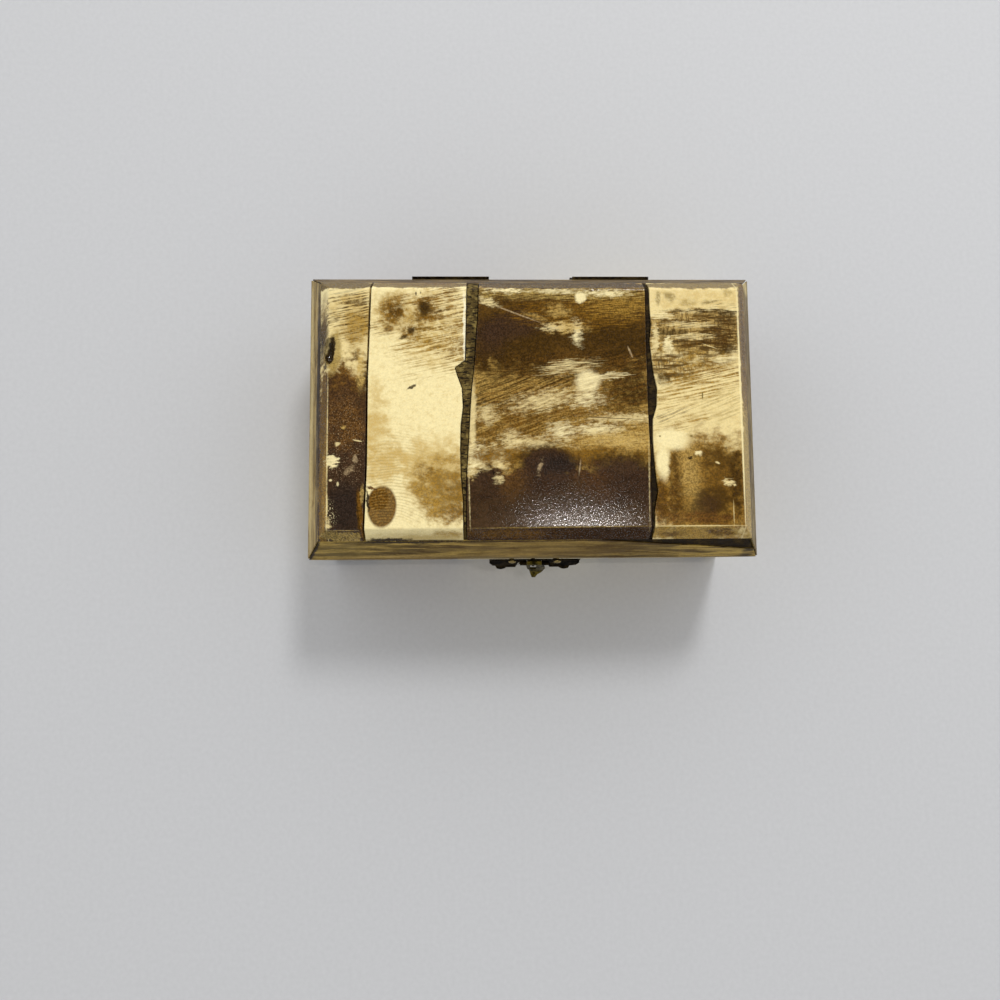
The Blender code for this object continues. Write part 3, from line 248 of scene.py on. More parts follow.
PLATE_3_MARKS = (
    ("brushed", "amber", 5.3, -3.3, 20.0, 9.47, 8, 0.4, 0.6),
    ("sawn", "brown", 6.4, -0.0, 21.05, 6.84, 14, 0.3, 0.65),
    ("raked", "brown", -5.9, -2.2, 10.0, 5.79, 22, 0.3, 0.85),
    ("raked", "umber", -5.3, 4.9, 9.47, 3.95, 20, 0.3, 0.75),
    ("plain", "brown", 5.6, 18.3, 42.11, 9.47, 1, 0.07, 0.97),
    ("cloudy", "brown", 5.5, 9.0, 18.95, 1.58, 0, 0.6, 0.9),
    ("brushed", "brown", 5.5, 8.7, 20.0, 2.32, 0, 0.5, 0.9),
    ("raked", "umber", 14.1, 8.7, 14.21, 2.63, 12, 0.4, 0.95),
    ("mottled", "umber", -4.7, 14.7, 11.58, 7.37, 0, 0.4, 0.95),
    ("mottled", "umber", 17.5, 13.6, 9.47, 5.0, 0, 0.4, 0.95),
    ("plain", "plum", -5.2, 17.5, 7.37, 2.89, 10, 0.5, 0.8),
    ("plain", "plum", -9.5, 14.7, 3.16, 3.68, 0, 0.6, 0.6),
    ("mottled", "umber", 19.4, 3.2, 6.8, 4.21, 5, 0.4, 0.9),
    ("mottled", "umber", 20.8, 3.7, 4.74, 3.16, 0, 0.4, 0.9),
    ("brushed", "amber", 10.0, 20.2, 12.63, 2.89, 0, 0.4, 0.9),
    ("brushed", "tan", 18.8, 22.5, 6.84, 2.89, 0, 0.4, 0.85),
    ("brushed", "halo", 5.7, 24.6, 18.95, 1.26, 0, 0.4, 0.95),
    ("flaked", "cream", -6.2, 25.2, 3.68, 0.47, 0, 0.7, 0.95),
    ("flaked", "cream", 4.7, 25.0, 4.74, 0.5, 0, 0.7, 0.7),
    ("plain", "cream", 9.8, 23.7, 1.16, 1.1, 0, 0.3, 0.95),
    ("flaked", "cream", 15.5, 24.6, 4.21, 0.63, 0, 0.7, 0.9),
    ("flaked", "ivory", -10.0, 22.7, 1.79, 0.74, -20, 0.7, 0.9),
    ("flaked", "straw", 5.1, 20.7, 2.11, 1.16, -10, 0.8, 0.6),
    ("flaked", "straw", 0.2, 19.4, 2.32, 0.63, -20, 0.8, 0.4),
    ("flaked", "cream", 4.4, 17.1, 2.42, 0.68, 0, 0.8, 0.95),
    ("flaked", "cream", 9.0, 15.9, 1.05, 2.21, 4, 0.8, 0.95),
    ("flaked", "straw", 6.7, 17.1, 3.68, 1.05, 0, 0.8, 0.8),
    ("plain", "fleck", -4.1, 20.2, 5.16, 0.16, -21, 0.4, 0.8),
    ("plain", "fleck", 20.3, 11.7, 0.21, 1.26, 22, 0.4, 0.8),
    ("plain", "cream", 11.1, 5.4, 2.5, 2.2, 0, 0.4, 0.97),
    ("flaked", "cream", 10.9, 1.6, 3.16, 1.58, 0, 0.8, 0.96),
    ("brushed", "cream", 15.2, 6.5, 3.68, 0.63, 4, 0.4, 0.85),
    ("raked", "brown", 1.6, -0.0, 6.84, 2.63, 20, 0.4, 0.6),
    ("sawn", "brown", 10.7, -0.1, 5.79, 1.58, 12, 0.4, 0.5),
    ("flaked", "cream", 5.4, -5.2, 2.53, 1.58, 0, 0.8, 0.98),
    ("flaked", "cream", 13.1, -4.9, 4.21, 1.05, 0, 0.8, 0.9),
    ("flaked", "ivory", 1.6, 1.3, 5.79, 1.79, 10, 0.8, 0.9),
    ("flaked", "ivory", -0.6, -8.0, 5.79, 1.37, 0, 0.8, 0.85),
    ("flaked", "ivory", -10.3, -1.7, 1.89, 1.79, 0, 0.8, 0.75),
    ("plain", "ivory", -13.4, -4.3, 0.74, 8.42, 0, 0.5, 0.85),
    ("flaked", "cream", -12.7, -11.3, 2.11, 2.89, 0, 0.8, 0.98),
    ("flaked", "ivory", -8.1, -11.3, 1.89, 2.84, 0, 0.8, 0.9),
    ("brushed", "ivory", 7.1, 8.6, 4.74, 1.26, 8, 0.5, 0.85),
    ("flaked", "ivory", 18.8, -2.5, 6.84, 0.84, 0, 0.8, 0.8),
    ("flaked", "straw", 17.0, -7.1, 6.32, 1.58, 0, 0.8, 0.8),
    ("flaked", "ivory", -5.1, -6.6, 1.79, 1.47, 0, 0.8, 0.8),
    ("sawn", "caramel", 6.5, 2.1, 18.42, 7.37, 14, 0.4, 0.32),
    ("raked", "amber", 1.6, -3.3, 14.74, 4.74, 20, 0.4, 0.35),
    ("plain", "umber", 16.1, -2.5, 7.37, 0.08, -3, 0.4, 0.85),
    ("plain", "amber", 11.8, -0.1, 8.42, 0.06, 3, 0.4, 0.6),
    ("plain", "umber", 1.6, -0.8, 4.74, 0.08, 18, 0.4, 0.8),
    ("cloudy", "amber", 5.2, -10.6, 21.05, 1.89, 0, 0.5, 0.95),
    ("cloudy", "umber", -7.6, -16.1, 6.84, 3.16, 0, 0.4, 0.95),
    ("plain", "umber", 2.0, -13.2, 6.42, 5.16, 0, 0.3, 0.9),
    ("plain", "umber", 17.9, -15.7, 7.89, 5.79, 0, 0.3, 0.9),
    ("plain", "plum", 4.5, -23.1, 42.11, 9.74, 0, 0.07, 0.97),
    ("plain", "plum", 2.0, -13.5, 5.26, 4.47, 0, 0.25, 0.97),
    ("plain", "plum", 17.4, -15.7, 6.32, 4.74, 0, 0.3, 0.93),
    ("mottled", "caramel", -5.2, -16.1, 2.89, 3.16, 0, 0.6, 0.5),
    ("mottled", "rust", 11.5, -16.2, 4.21, 3.16, -30, 0.6, 0.6),
    ("plain", "soot", 4.7, -12.4, 4.21, 1.89, 0, 0.6, 0.75),
    ("mottled", "char", 5.1, -19.9, 21.05, 5.26, 0, 0.4, 0.6),
    ("plain", "pit", -9.0, -14.0, 0.21, 0.74, 18, 0.4, 0.95),
    ("flaked", "ivory", -8.1, -15.3, 0.84, 0.84, 0, 0.8, 0.9),
    ("flaked", "fleck", 0.7, -13.0, 0.42, 1.79, -12, 0.5, 0.7),
    ("plain", "pit", 8.9, -13.0, 0.08, 3.16, 0, 0.4, 0.8),
    ("plain", "fleck", 9.1, -13.0, 0.16, 1.58, -8, 0.4, 0.7),
    ("mottled", "ivory", -14.1, -19.8, 0.14, 6.84, 1.2, 0.5, 0.55),
    ("mottled", "ivory", 23.7, -16.3, 0.12, 9.47, -0.6, 0.5, 0.5),
    ("plain", "bevel_dark", 5.0, -27.2, 21.05, 1.74, 0, 0.06, 0.97),
    ("mottled", "amber", -5.6, -26.8, 8.95, 0.95, 0, 0.5, 0.6),
    ("plain", "halo", 4.7, -25.5, 18.74, 0.11, 0.3, 0.5, 0.6),
    ("plain", "back_dark", 5, 27.1, 22, 1.35, 0, 0.15, 0.95),
    ("cloudy", "back_tan", 0, 26.6, 14, 0.5, 0, 0.6, 0.5),
)
PLATE_4_MARKS = (
    ("mottled", "straw", 34.5, 23.4, 9.88, 2.34, 0, 0.4, 0.5),
    ("mottled", "olive", 26.5, 23.4, 0.52, 1.46, 0, 0.5, 0.7),
    ("mottled", "olive", 29.1, 23.7, 1.14, 0.94, -30, 0.5, 0.6),
    ("mottled", "halo", 32.9, 22.6, 1.77, 0.73, 0, 0.5, 0.7),
    ("sawn", "olive", 38.0, 22.6, 2.29, 0.42, 0, 0.4, 0.7),
    ("mottled", "halo", 41.6, 24.8, 1.14, 0.62, 0, 0.5, 0.7),
    ("plain", "tan", 34.3, 16.0, 14.03, 4.94, 0, 0.12, 0.8),
    ("cross", "brown", 34.3, 15.9, 11.95, 4.94, 0, 0.2, 0.95),
    ("cross", "umber", 40.2, 16.0, 5.2, 4.68, 0, 0.3, 0.5),
    ("brushed", "brown", 40.5, 16.0, 4.16, 4.57, 0, 0.4, 0.6),
    ("brushed", "umber", 37.2, 20.8, 7.28, 0.36, 0, 0.4, 0.95),
    ("mottled", "umber", 41.2, 20.1, 2.08, 0.57, 0, 0.4, 0.9),
    ("mottled", "brown", 30.6, 18.5, 4.42, 0.42, 0, 0.4, 0.85),
    ("mottled", "umber", 28.9, 16.1, 4.05, 0.57, 0, 0.4, 0.85),
    ("mottled", "brown", 32.6, 13.8, 3.64, 0.57, 0, 0.4, 0.8),
    ("mottled", "umber", 41.2, 12.7, 2.18, 1.25, 0, 0.4, 0.8),
    ("brushed", "cream", 27.1, 19.6, 2.29, 0.73, 0, 0.4, 0.8),
    ("flaked", "cream", 28.4, 12.7, 0.94, 2.29, 0, 0.4, 0.9),
    ("flaked", "ivory", 25.8, 13.8, 0.73, 3.64, 0, 0.4, 0.85),
    ("brushed", "ivory", 33.3, 17.7, 4.16, 0.62, 0, 0.4, 0.75),
    ("brushed", "ivory", 34.0, 15.1, 3.64, 0.62, 0, 0.4, 0.75),
    ("plain", "ivory", 37.4, 13.0, 1.56, 0.1, -20, 0.4, 0.6),
    ("mottled", "tan", 30.3, 8.6, 6.24, 3.12, 0, 0.4, 0.9),
    ("cross", "brown", 29.3, 9.0, 4.94, 3.01, 0, 0.4, 0.95),
    ("mottled", "umber", 27.0, 5.7, 1.66, 1.25, 0, 0.4, 0.85),
    ("mottled", "tan", 37.9, 9.7, 5.2, 1.87, 0, 0.5, 0.8),
    ("cross", "brown", 38.4, 10.3, 4.16, 1.25, 0, 0.4, 0.7),
    ("brushed", "cream", 40.9, 10.1, 2.49, 0.73, 3, 0.4, 0.8),
    ("sawn", "amber", 36.2, 6.7, 7.8, 2.18, 8, 0.4, 0.95),
    ("sawn", "tan", 32.9, 3.5, 9.36, 2.6, 12, 0.4, 0.95),
    ("raked", "brown", 29.0, -1.8, 3.43, 0.94, 18, 0.5, 0.6),
    ("sawn", "tan", 30.5, -4.0, 6.24, 1.25, 18, 0.4, 0.85),
    ("raked", "halo", 39.7, 0.2, 4.16, 2.6, 15, 0.5, 0.6),
    ("plain", "tan", 35.9, -18.2, 13.51, 11.69, 0, 0.22, 0.93),
    ("cloudy", "caramel", 37.5, -17.9, 10.91, 10.4, 0, 0.5, 0.6),
    ("plain", "amber", 37.5, -18.4, 11.43, 10.4, 0, 0.5, 0.5),
    ("cloudy", "amber", 37.5, -20.0, 11.43, 9.36, 0, 0.7, 0.5),
    ("plain", "cream", 28.9, -7.0, 3.53, 2.18, -5, 0.35, 0.95),
    ("plain", "cream", 26.7, -12.0, 1.25, 3.95, 0, 0.4, 0.97),
    ("plain", "amber", 26.2, -20.2, 1.46, 5.2, 0, 0.4, 0.9),
    ("mottled", "brown", 26.2, -21.0, 1.35, 4.37, 0, 0.5, 0.9),
    ("mottled", "brown", 29.2, -17.9, 1.46, 7.8, -2, 0.4, 0.97),
    ("cloudy", "straw", 32.7, -15.2, 1.98, 6.24, 5, 0.7, 0.6),
    ("cloudy", "brown", 38.9, -16.1, 4.94, 6.24, 0, 0.7, 0.6),
    ("cloudy", "umber", 37.8, -11.1, 3.12, 2.18, 0, 0.6, 0.6),
    ("cloudy", "umber", 36.9, -21.1, 4.68, 3.22, 0, 0.6, 0.85),
    ("plain", "plum", 36.0, -21.1, 2.29, 2.34, 0, 0.7, 0.5),
    ("mottled", "umber", 42.1, -16.3, 1.25, 6.76, 0, 0.5, 0.95),
    ("mottled", "rust", 34.2, -23.8, 8.32, 1.14, 0, 0.5, 0.8),
    ("plain", "pit", 32.4, -11.0, 0.42, 0.31, 0, 0.5, 0.95),
    ("flaked", "cream", 34.4, -10.0, 0.73, 0.47, 0, 0.5, 0.9),
    ("plain", "ivory", 38.3, -12.1, 0.47, 0.21, -20, 0.5, 0.85),
    ("flaked", "ivory", 40.3, -16.2, 1.04, 0.62, 0, 0.5, 0.95),
    ("flaked", "ivory", 41.7, -16.8, 0.42, 0.31, 0, 0.5, 0.9),
    ("plain", "olive", 32.8, -6.4, 0.31, 0.21, 0, 0.4, 0.8),
    ("plain", "olive", 26.2, -6.4, 0.21, 0.21, 0, 0.4, 0.8),
    ("sawn", "brown", 38.8, -9.5, 3.12, 0.31, 20, 0.4, 0.9),
    ("plain", "ivory", 41.4, -22.7, 0.09, 2.29, 0, 0.4, 0.6),
    ("plain", "olive", 35.5, 2.3, 0.16, 0.73, 0, 0.4, 0.8),
    ("plain", "halo", 33.6, -26.7, 10.4, 1.4, 0, 0.15, 0.97),
    ("cloudy", "tan", 33.6, -26.7, 9.88, 1.25, 0, 0.3, 0.8),
    ("mottled", "brown", 38.8, -26.6, 3.12, 0.73, -3, 0.4, 0.9),
    ("mottled", "brown", 28.8, -27.0, 2.6, 0.52, 0, 0.4, 0.8),
    ("mottled", "ivory", 43.2, -26.3, 0.73, 0.62, 0, 0.4, 0.8),
    ("plain", "straw", 45.4, 0, 1.2, 40, 0, 0.2, 0.8),
    ("cloudy", "halo", 45.4, -4, 1.1, 24, 0, 0.3, 0.9),
    ("sawn", "brown", 45.2, 14, 0.6, 10, 90, 0.3, 0.9),
    ("mottled", "brown", 45.0, 15, 0.5, 9, 0, 0.3, 0.9),
    ("mottled", "olive", 46.0, 0, 0.35, 30, 0, 0.3, 0.9),
    ("mottled", "olive", 45.0, 26, 1.2, 2.2, 0, 0.3, 0.9),
    ("plain", "ivory", 33.6, -25.4, 9.62, 0.12, 0, 0.5, 0.8),
    ("plain", "back_tan", 35, 27.0, 13, 1.35, 0, 0.2, 0.95),
    ("plain", "bevel_brown", 45.45, 13, 1.7, 17, 0.4, 0.12, 0.92),
    ("plain", "bevel_tan", 45.45, -14, 1.65, 15, 0.3, 0.2, 0.7),
    ("mottled", "umber", 45.2, 16, 0.7, 10, 0.6, 0.5, 0.6),
    ("plain", "cream", 43.75, -0.3, 0.24, 26.2, 0.3, 0.5, 0.9),
)
FRONT_RIM_MARKS = (
    ("mottled", "umber", -29.2, -30.1, 8.66, 1.08, 2, 0.5, 0.6),
    ("mottled", "olive", -41.0, -30.2, 4.76, 1.3, 0, 0.5, 0.6),
    ("mottled", "straw", 5.3, -30.8, 12.98, 0.87, 0, 0.5, 0.6),
    ("mottled", "straw", -20.6, -31.5, 19.48, 0.54, 0, 0.5, 0.6),
    ("mottled", "umber", 18.3, -30.7, 17.31, 0.65, 0, 0.5, 0.6),
    ("mottled", "umber", -14.1, -29.6, 10.82, 0.65, 0, 0.5, 0.7),
    ("mottled", "ivory", -3.4, -31.8, 12.98, 0.35, 0, 0.5, 0.6),
    ("mottled", "straw", -33.5, -31.6, 10.82, 0.39, 0, 0.5, 0.6),
    ("mottled", "soot", 47.2, -31.1, 1.3, 1.3, 0, 0.5, 0.9),
    ("plain", "pit", 0.0, -28.25, 46.5, 0.12, 0, 0.3, 0.8),
    ("plain", "pit", -47.85, -30.1, 3.2, 0.3, 45, 0.4, 0.95),
    ("plain", "pit", 34.0, -28.5, 16.0, 0.7, -1.5, 0.4, 0.97),
    ("plain", "pit", 43.0, -28.9, 7.5, 1.0, -3, 0.4, 0.95),
    ("plain", "pit", -27.0, -28.3, 13.0, 0.25, 0, 0.4, 0.9),
    ("plain", "brown", 6.0, -29.5, 24.0, 2.0, 0, 0.6, 0.5),
    ("plain", "umber", 0.0, -31.9, 52.0, 0.6, 0, 0.5, 0.7),
)
BACK_RIM_MARKS = (
    ("plain", "pit", 0.0, 28.25, 46.5, 0.12, 0, 0.3, 0.85),
    ("plain", "pit", 38.0, 28.4, 9.0, 0.28, 0, 0.4, 0.9),
    ("mottled", "umber", 10.0, 30.0, 30.0, 1.2, 0, 0.5, 0.6),
    ("mottled", "rust", -25.0, 28.7, 12.0, 0.35, 0, 0.5, 0.6),
)
LEFT_RIM_MARKS = (
    ("plain", "bevel_brown", -46.6, 0.0, 0.4, 28.0, 0, 0.3, 0.8),
    ("plain", "pit", -47.05, 0.0, 0.17, 28.3, 0, 0.4, 0.9),
    ("plain", "pit", -46.5, 0.0, 0.2, 28.4, 0, 0.4, 0.9),
    ("mottled", "ivory", -49.3, 0.0, 0.5, 28.0, 0, 0.5, 0.5),
    ("plain", "pit", -46.7, 11.0, 0.32, 17.5, 0, 0.4, 0.9),
)
RIGHT_RIM_MARKS = (
    ("plain", "pit", 46.45, 0.0, 0.13, 28.4, 0, 0.3, 0.85),
    ("mottled", "brown", 47.3, 12.0, 0.5, 12.0, 0, 0.5, 0.6),
    ("mottled", "ivory", 47.6, 28.6, 1.6, 1.6, 0, 0.5, 0.7),
)


def linear(hex_colour):
    """The linear colour that an sRGB hex value stands for."""
    found = []
    for start in (0, 2, 4):
        share = int(hex_colour[start : start + 2], 16) / 255
        found.append(share / 12.92 if share <= 0.04045 else ((share + 0.055) / 1.055) ** 2.4)
    return (*found, 1.0)


def node(tree, kind, inputs=(), **settings):
    """Adds a node with its settings, and links or sets its inputs, given by name or in their order."""
    made = tree.nodes.new(kind)
    for name, value in settings.items():
        setattr(made, name, value)
    for name, value in inputs.items() if isinstance(inputs, dict) else enumerate(inputs):
        if isinstance(value, bpy.types.NodeSocket):
            tree.links.new(value, made.inputs[name])
        else:
            made.inputs[name].default_value = value
    return made


def new_finish(name, surface):
    """A new material with its surface shader, and the place on the object that its patterns read."""
    material = bpy.data.materials.new(name)
    material.use_nodes = True
    tree = material.node_tree
    tree.nodes.clear()
    shader = node(tree, "ShaderNodeBsdfPrincipled", surface)
    node(tree, "ShaderNodeOutputMaterial", {"Surface": shader.outputs[0]})
    place = node(tree, "ShaderNodeTexCoord").outputs["Object"]
    return material, tree, shader, place


def drawn_out(tree, place, along, across, lean=0.0, detail=2.0, seed=0.0, roughness=0.6, slant=0.0):
    """Noise pulled out into fibres: along and across are its grain sizes in millimetres, and lean and slant
    turn it in degrees, seen from above and from the front."""
    turned = node(
        tree,
        "ShaderNodeMapping",
        {
            "Vector": place,
            "Rotation": (0, math.radians(slant), math.radians(lean)),
            "Location": (seed * MM, seed * MM, 0),
            "Scale": (along * MM, across * MM, across * MM),
        },
        vector_type="TEXTURE",
    ).outputs[0]
    noise = {"Vector": turned, "Scale": 1.0, "Detail": detail, "Roughness": roughness}
    return node(tree, "ShaderNodeTexNoise", noise).outputs["Fac"]


def stained(tree, colour, over, pattern, low, high, least=0.0, most=1.0):
    """A colour with another laid over it, by a share that grows as a pattern goes from low to high."""
    share = node(tree, "ShaderNodeMapRange", (pattern, low, high, least, most), **SMOOTH).outputs[0]
    return node(tree, "ShaderNodeMix", {0: share, 6: colour, 7: over}, **COLOURS).outputs[2]


def shaded(tree, colour, pattern, darkest, lightest):
    """A colour made a little darker and lighter by the fine grain of a pattern."""
    shade = node(tree, "ShaderNodeMapRange", (pattern, 0.3, 0.7, darkest, lightest), **SMOOTH).outputs[0]
    return node(tree, "ShaderNodeMix", {0: 1.0, 6: colour, 7: shade}, **MULTIPLIED).outputs[2]


def dressed(tree, shader, colour, pattern, smoothest, roughest):
    """Gives a surface its colour, and a roughness that follows a pattern."""
    tree.links.new(colour, shader.inputs["Base Color"])
    rough = node(tree, "ShaderNodeMapRange", (pattern, 0.3, 0.7, smoothest, roughest), **SMOOTH)
    tree.links.new(rough.outputs[0], shader.inputs["Roughness"])


def embossed(tree, shader, height, strength, depth, eased=False):
    """Gives a surface the small heights of its patterns, depth in millimetres, and eases its sharp ridges."""
    inputs = {"Height": height, "Strength": strength, "Distance": depth * MM}
    if eased:
        inputs["Normal"] = node(tree, "ShaderNodeBevel", {"Radius": RIDGE_EASE * MM}, samples=4).outputs[0]
    bump = node(tree, "ShaderNodeBump", inputs)
    tree.links.new(bump.outputs[0], shader.inputs["Normal"])


def wandering(tree, place, size, reach, seed=0.0):
    """The place moved about by up to reach millimetres, in waves of the size given, so that a stain that
    reads it has no drawn outline."""
    shifted = node(tree, "ShaderNodeVectorMath", (place, (seed * MM, -seed * MM, 0)), operation="ADD")
    noise = {"Vector": shifted.outputs[0], "Scale": 1 / (size * MM), "Detail": 3.0, "Roughness": 0.7}
    drift = node(tree, "ShaderNodeTexNoise", noise).outputs["Color"]
    centred = node(tree, "ShaderNodeVectorMath", (drift, (0.5, 0.5, 0.5)), operation="SUBTRACT").outputs[0]
    most = (2 * reach * MM, 2 * reach * MM, 0)
    moved = node(tree, "ShaderNodeVectorMath", (centred, most), operation="MULTIPLY").outputs[0]
    return node(tree, "ShaderNodeVectorMath", (place, moved), operation="ADD").outputs[0]


def patch(tree, place, eaten, x, y, half_x, half_y, lean, softness, strength):
    """A stain as a share that falls from strength to 0 over its soft edge: eaten breaks its outline."""
    inside = node(
        tree,
        "ShaderNodeMapping",
        {
            "Vector": place,
            "Location": (x * MM, y * MM, TOP),
            "Rotation": (0, 0, math.radians(lean)),
            "Scale": (half_x * MM, half_y * MM, 1),
        },
        vector_type="TEXTURE",
    ).outputs[0]
    reach = node(tree, "ShaderNodeVectorMath", (inside,), operation="LENGTH").outputs["Value"]
    edge = node(tree, "ShaderNodeMath", (reach, eaten), operation="SUBTRACT").outputs[0]
    fall = (edge, 1 - softness, 1 + softness, strength, 0.0)
    return node(tree, "ShaderNodeMapRange", fall, **SMOOTH).outputs[0]


def growth_rings(tree, place):
    """The growth rings of the shaft, as wavy circles round its middle."""
    centred = node(
        tree,
        "ShaderNodeMapping",
        {"Vector": place, "Location": (RINGS_X * MM, RINGS_Y * MM, 0), "Scale": (MM, MM, MM)},
        vector_type="TEXTURE",
    ).outputs[0]
    waves = {"Vector": centred, "Scale": 0.5, "Distortion": 9.0, "Detail": 3.0, "Detail Scale": 0.3}
    return node(tree, "ShaderNodeTexWave", waves, wave_type="RINGS", rings_direction="Z").outputs["Fac"]


def bone_textures(tree, place, seed):
    """What breaks the marks on sanded bone: for each texture how full a mark is inside, as a share, and how
    far its edge is eaten, and then the patterns that these come from."""
    pattern = {}
    for name, (along, across, lean, detail, roughness, shift) in BONE_PATTERNS.items():
        pattern[name] = drawn_out(tree, place, along, across, lean, detail, seed + shift, roughness)
    fine = pattern["fine"]
    broken = node(tree, "ShaderNodeMapRange", (pattern["blotch"], 0.38, 0.56, 0.45, 1.0), **SMOOTH).outputs[0]
    grain = node(tree, "ShaderNodeMapRange", (fine, 0.3, 0.6, 0.8, 1.0), **SMOOTH).outputs[0]
    rings = growth_rings(tree, place)
    rows = node(tree, "ShaderNodeMapRange", (pattern["level"], 0.45, 0.57, 0.0, 1.0), **SMOOTH).outputs[0]
    columns = node(tree, "ShaderNodeMapRange", (pattern["upright"], 0.5, 0.62, 0.0, 0.75), **SMOOTH)
    crossed = node(tree, "ShaderNodeMath", (rows, columns.outputs[0]), operation="MAXIMUM").outputs[0]
    even = node(tree, "ShaderNodeMapRange", (fine, 0.3, 0.6, 0.95, 1.0), **SMOOTH).outputs[0]
    mottled = node(tree, "ShaderNodeMath", (broken, grain), operation="MULTIPLY").outputs[0]
    powdery = node(tree, "ShaderNodeMapRange", (fine, 0.3, 0.6, 0.6, 1.0), **SMOOTH).outputs[0]
    inside = {"plain": even, "even": even, "mottled": mottled}
    for name, source, low, high, least, broken_by in (
        ("cloudy", pattern["cloud"], 0.3, 0.6, 0.6, powdery),
        ("flaked", pattern["flake"], 0.28, 0.58, 0.4, None),
        ("brushed", pattern["brushed"], 0.38, 0.6, 0.1, None),
        ("sawn", pattern["sawn"], 0.42, 0.58, 0.0, mottled),
        ("raked", pattern["raked"], 0.42, 0.58, 0.0, mottled),
        ("specks", pattern["dust"], 0.6, 0.68, 0.0, None),
        ("growth", rings, 0.4, 1.0, 0.0, broken),
    ):
        full = node(tree, "ShaderNodeMapRange", (source, low, high, least, 1.0), **SMOOTH).outputs[0]
        if broken_by:
            full = node(tree, "ShaderNodeMath", (full, broken_by), operation="MULTIPLY").outputs[0]
        inside[name] = full
    inside["cross"] = node(tree, "ShaderNodeMath", (crossed, grain), operation="MULTIPLY").outputs[0]
    edges = {}
    for name, source, inward, outward in (
        ("plain", pattern["cloud"], -0.16, 0.16),
        ("mottled", pattern["cloud"], -0.35, 0.35),
        ("cloudy", pattern["cloud"], -0.45, 0.45),
        ("flaked", pattern["flake"], -0.8, 0.65),
        ("brushed", pattern["brushed"], -0.6, 0.6),
        ("sawn", pattern["sawn"], -0.5, 0.5),
        ("raked", pattern["raked"], -0.5, 0.5),
    ):
        eaten = node(tree, "ShaderNodeMapRange", (source, 0.25, 0.75, inward, outward), **SMOOTH)
        edges[name] = eaten.outputs[0]
    return inside, edges, pattern


def top_bone(name, ground, marks, seed):
    """Camel bone sawn to a plate, stained, sanded back and waxed: cream where the sanding cut through, dark
    where the stain sank in, slanted saw scores that kept the dark, and a wax gloss that sparkles."""
    material, tree, shader, place = new_finish(name, {"IOR": BONE_IOR, "Specular IOR Level": 0.2})
    inside, edges, pattern = bone_textures(tree, place, seed)
    near = wandering(tree, place, 1.8, 0.7, seed)
    fuzzy = wandering(tree, near, 0.35, 0.16, seed + 5)
    near_line = wandering(tree, place, 0.9, 0.08, seed + 9)
    colour = stained(
        tree, linear(TONES[ground]), linear(TONES["straw"]), pattern["blotch"], 0.45, 0.75, 0.0, 0.35
    )
    for texture, tone, x, y, half_x, half_y, lean, softness, strength in marks:
        thin = min(half_x, half_y) < THIN_MARK or texture == "even"
        around = near_line if thin else fuzzy
        eaten = 0.0 if thin else edges.get(texture, edges["plain"])
        share = patch(tree, around, eaten, x, y, half_x, half_y, lean, softness, strength)
        share = node(tree, "ShaderNodeMath", (share, inside[texture]), operation="MULTIPLY").outputs[0]
        laid = {0: share, 6: colour, 7: linear(TONES[tone])}
        colour = node(tree, "ShaderNodeMix", laid, **COLOURS).outputs[2]
    grey = node(tree, "ShaderNodeRGBToBW", (colour,)).outputs[0]
    lightness = node(tree, "ShaderNodeMapRange", (grey, 0.03, 0.5, 0.0, 1.0), **SMOOTH).outputs[0]
    # The scratches of the last sanding show dark and light in the stain, and hardly at all on the cream.
    shade = node(tree, "ShaderNodeMapRange", (pattern["fine"], 0.35, 0.65, 0.6, 1.38), **SMOOTH).outputs[0]
    depth = node(tree, "ShaderNodeMapRange", (lightness, 0.0, 1.0, 1.0, 0.12), **SMOOTH).outputs[0]
    colour = node(tree, "ShaderNodeMix", {0: depth, 6: colour, 7: shade}, **MULTIPLIED).outputs[2]
    tree.links.new(colour, shader.inputs["Base Color"])
    # The stain seals the bone, so it takes a higher gloss than the bare cream.
    gloss = node(tree, "ShaderNodeMapRange", (lightness, 0.0, 1.0, 0.1, 0.36), **SMOOTH)
    tree.links.new(gloss.outputs[0], shader.inputs["Roughness"])
    wax = node(tree, "ShaderNodeMapRange", (pattern["dust"], 0.56, 0.66, 0.06, 0.9), **SMOOTH)
    tree.links.new(wax.outputs[0], shader.inputs["Specular IOR Level"])
    grit = node(tree, "ShaderNodeMath", (pattern["fine"], pattern["dust"]), operation="ADD").outputs[0]
    scores = node(tree, "ShaderNodeMath", (pattern["sawn"], 0.4), operation="MULTIPLY").outputs[0]
    height = node(tree, "ShaderNodeMath", (grit, scores), operation="ADD").outputs[0]
    embossed(tree, shader, height, 0.085, 0.06, eased=True)
    return material


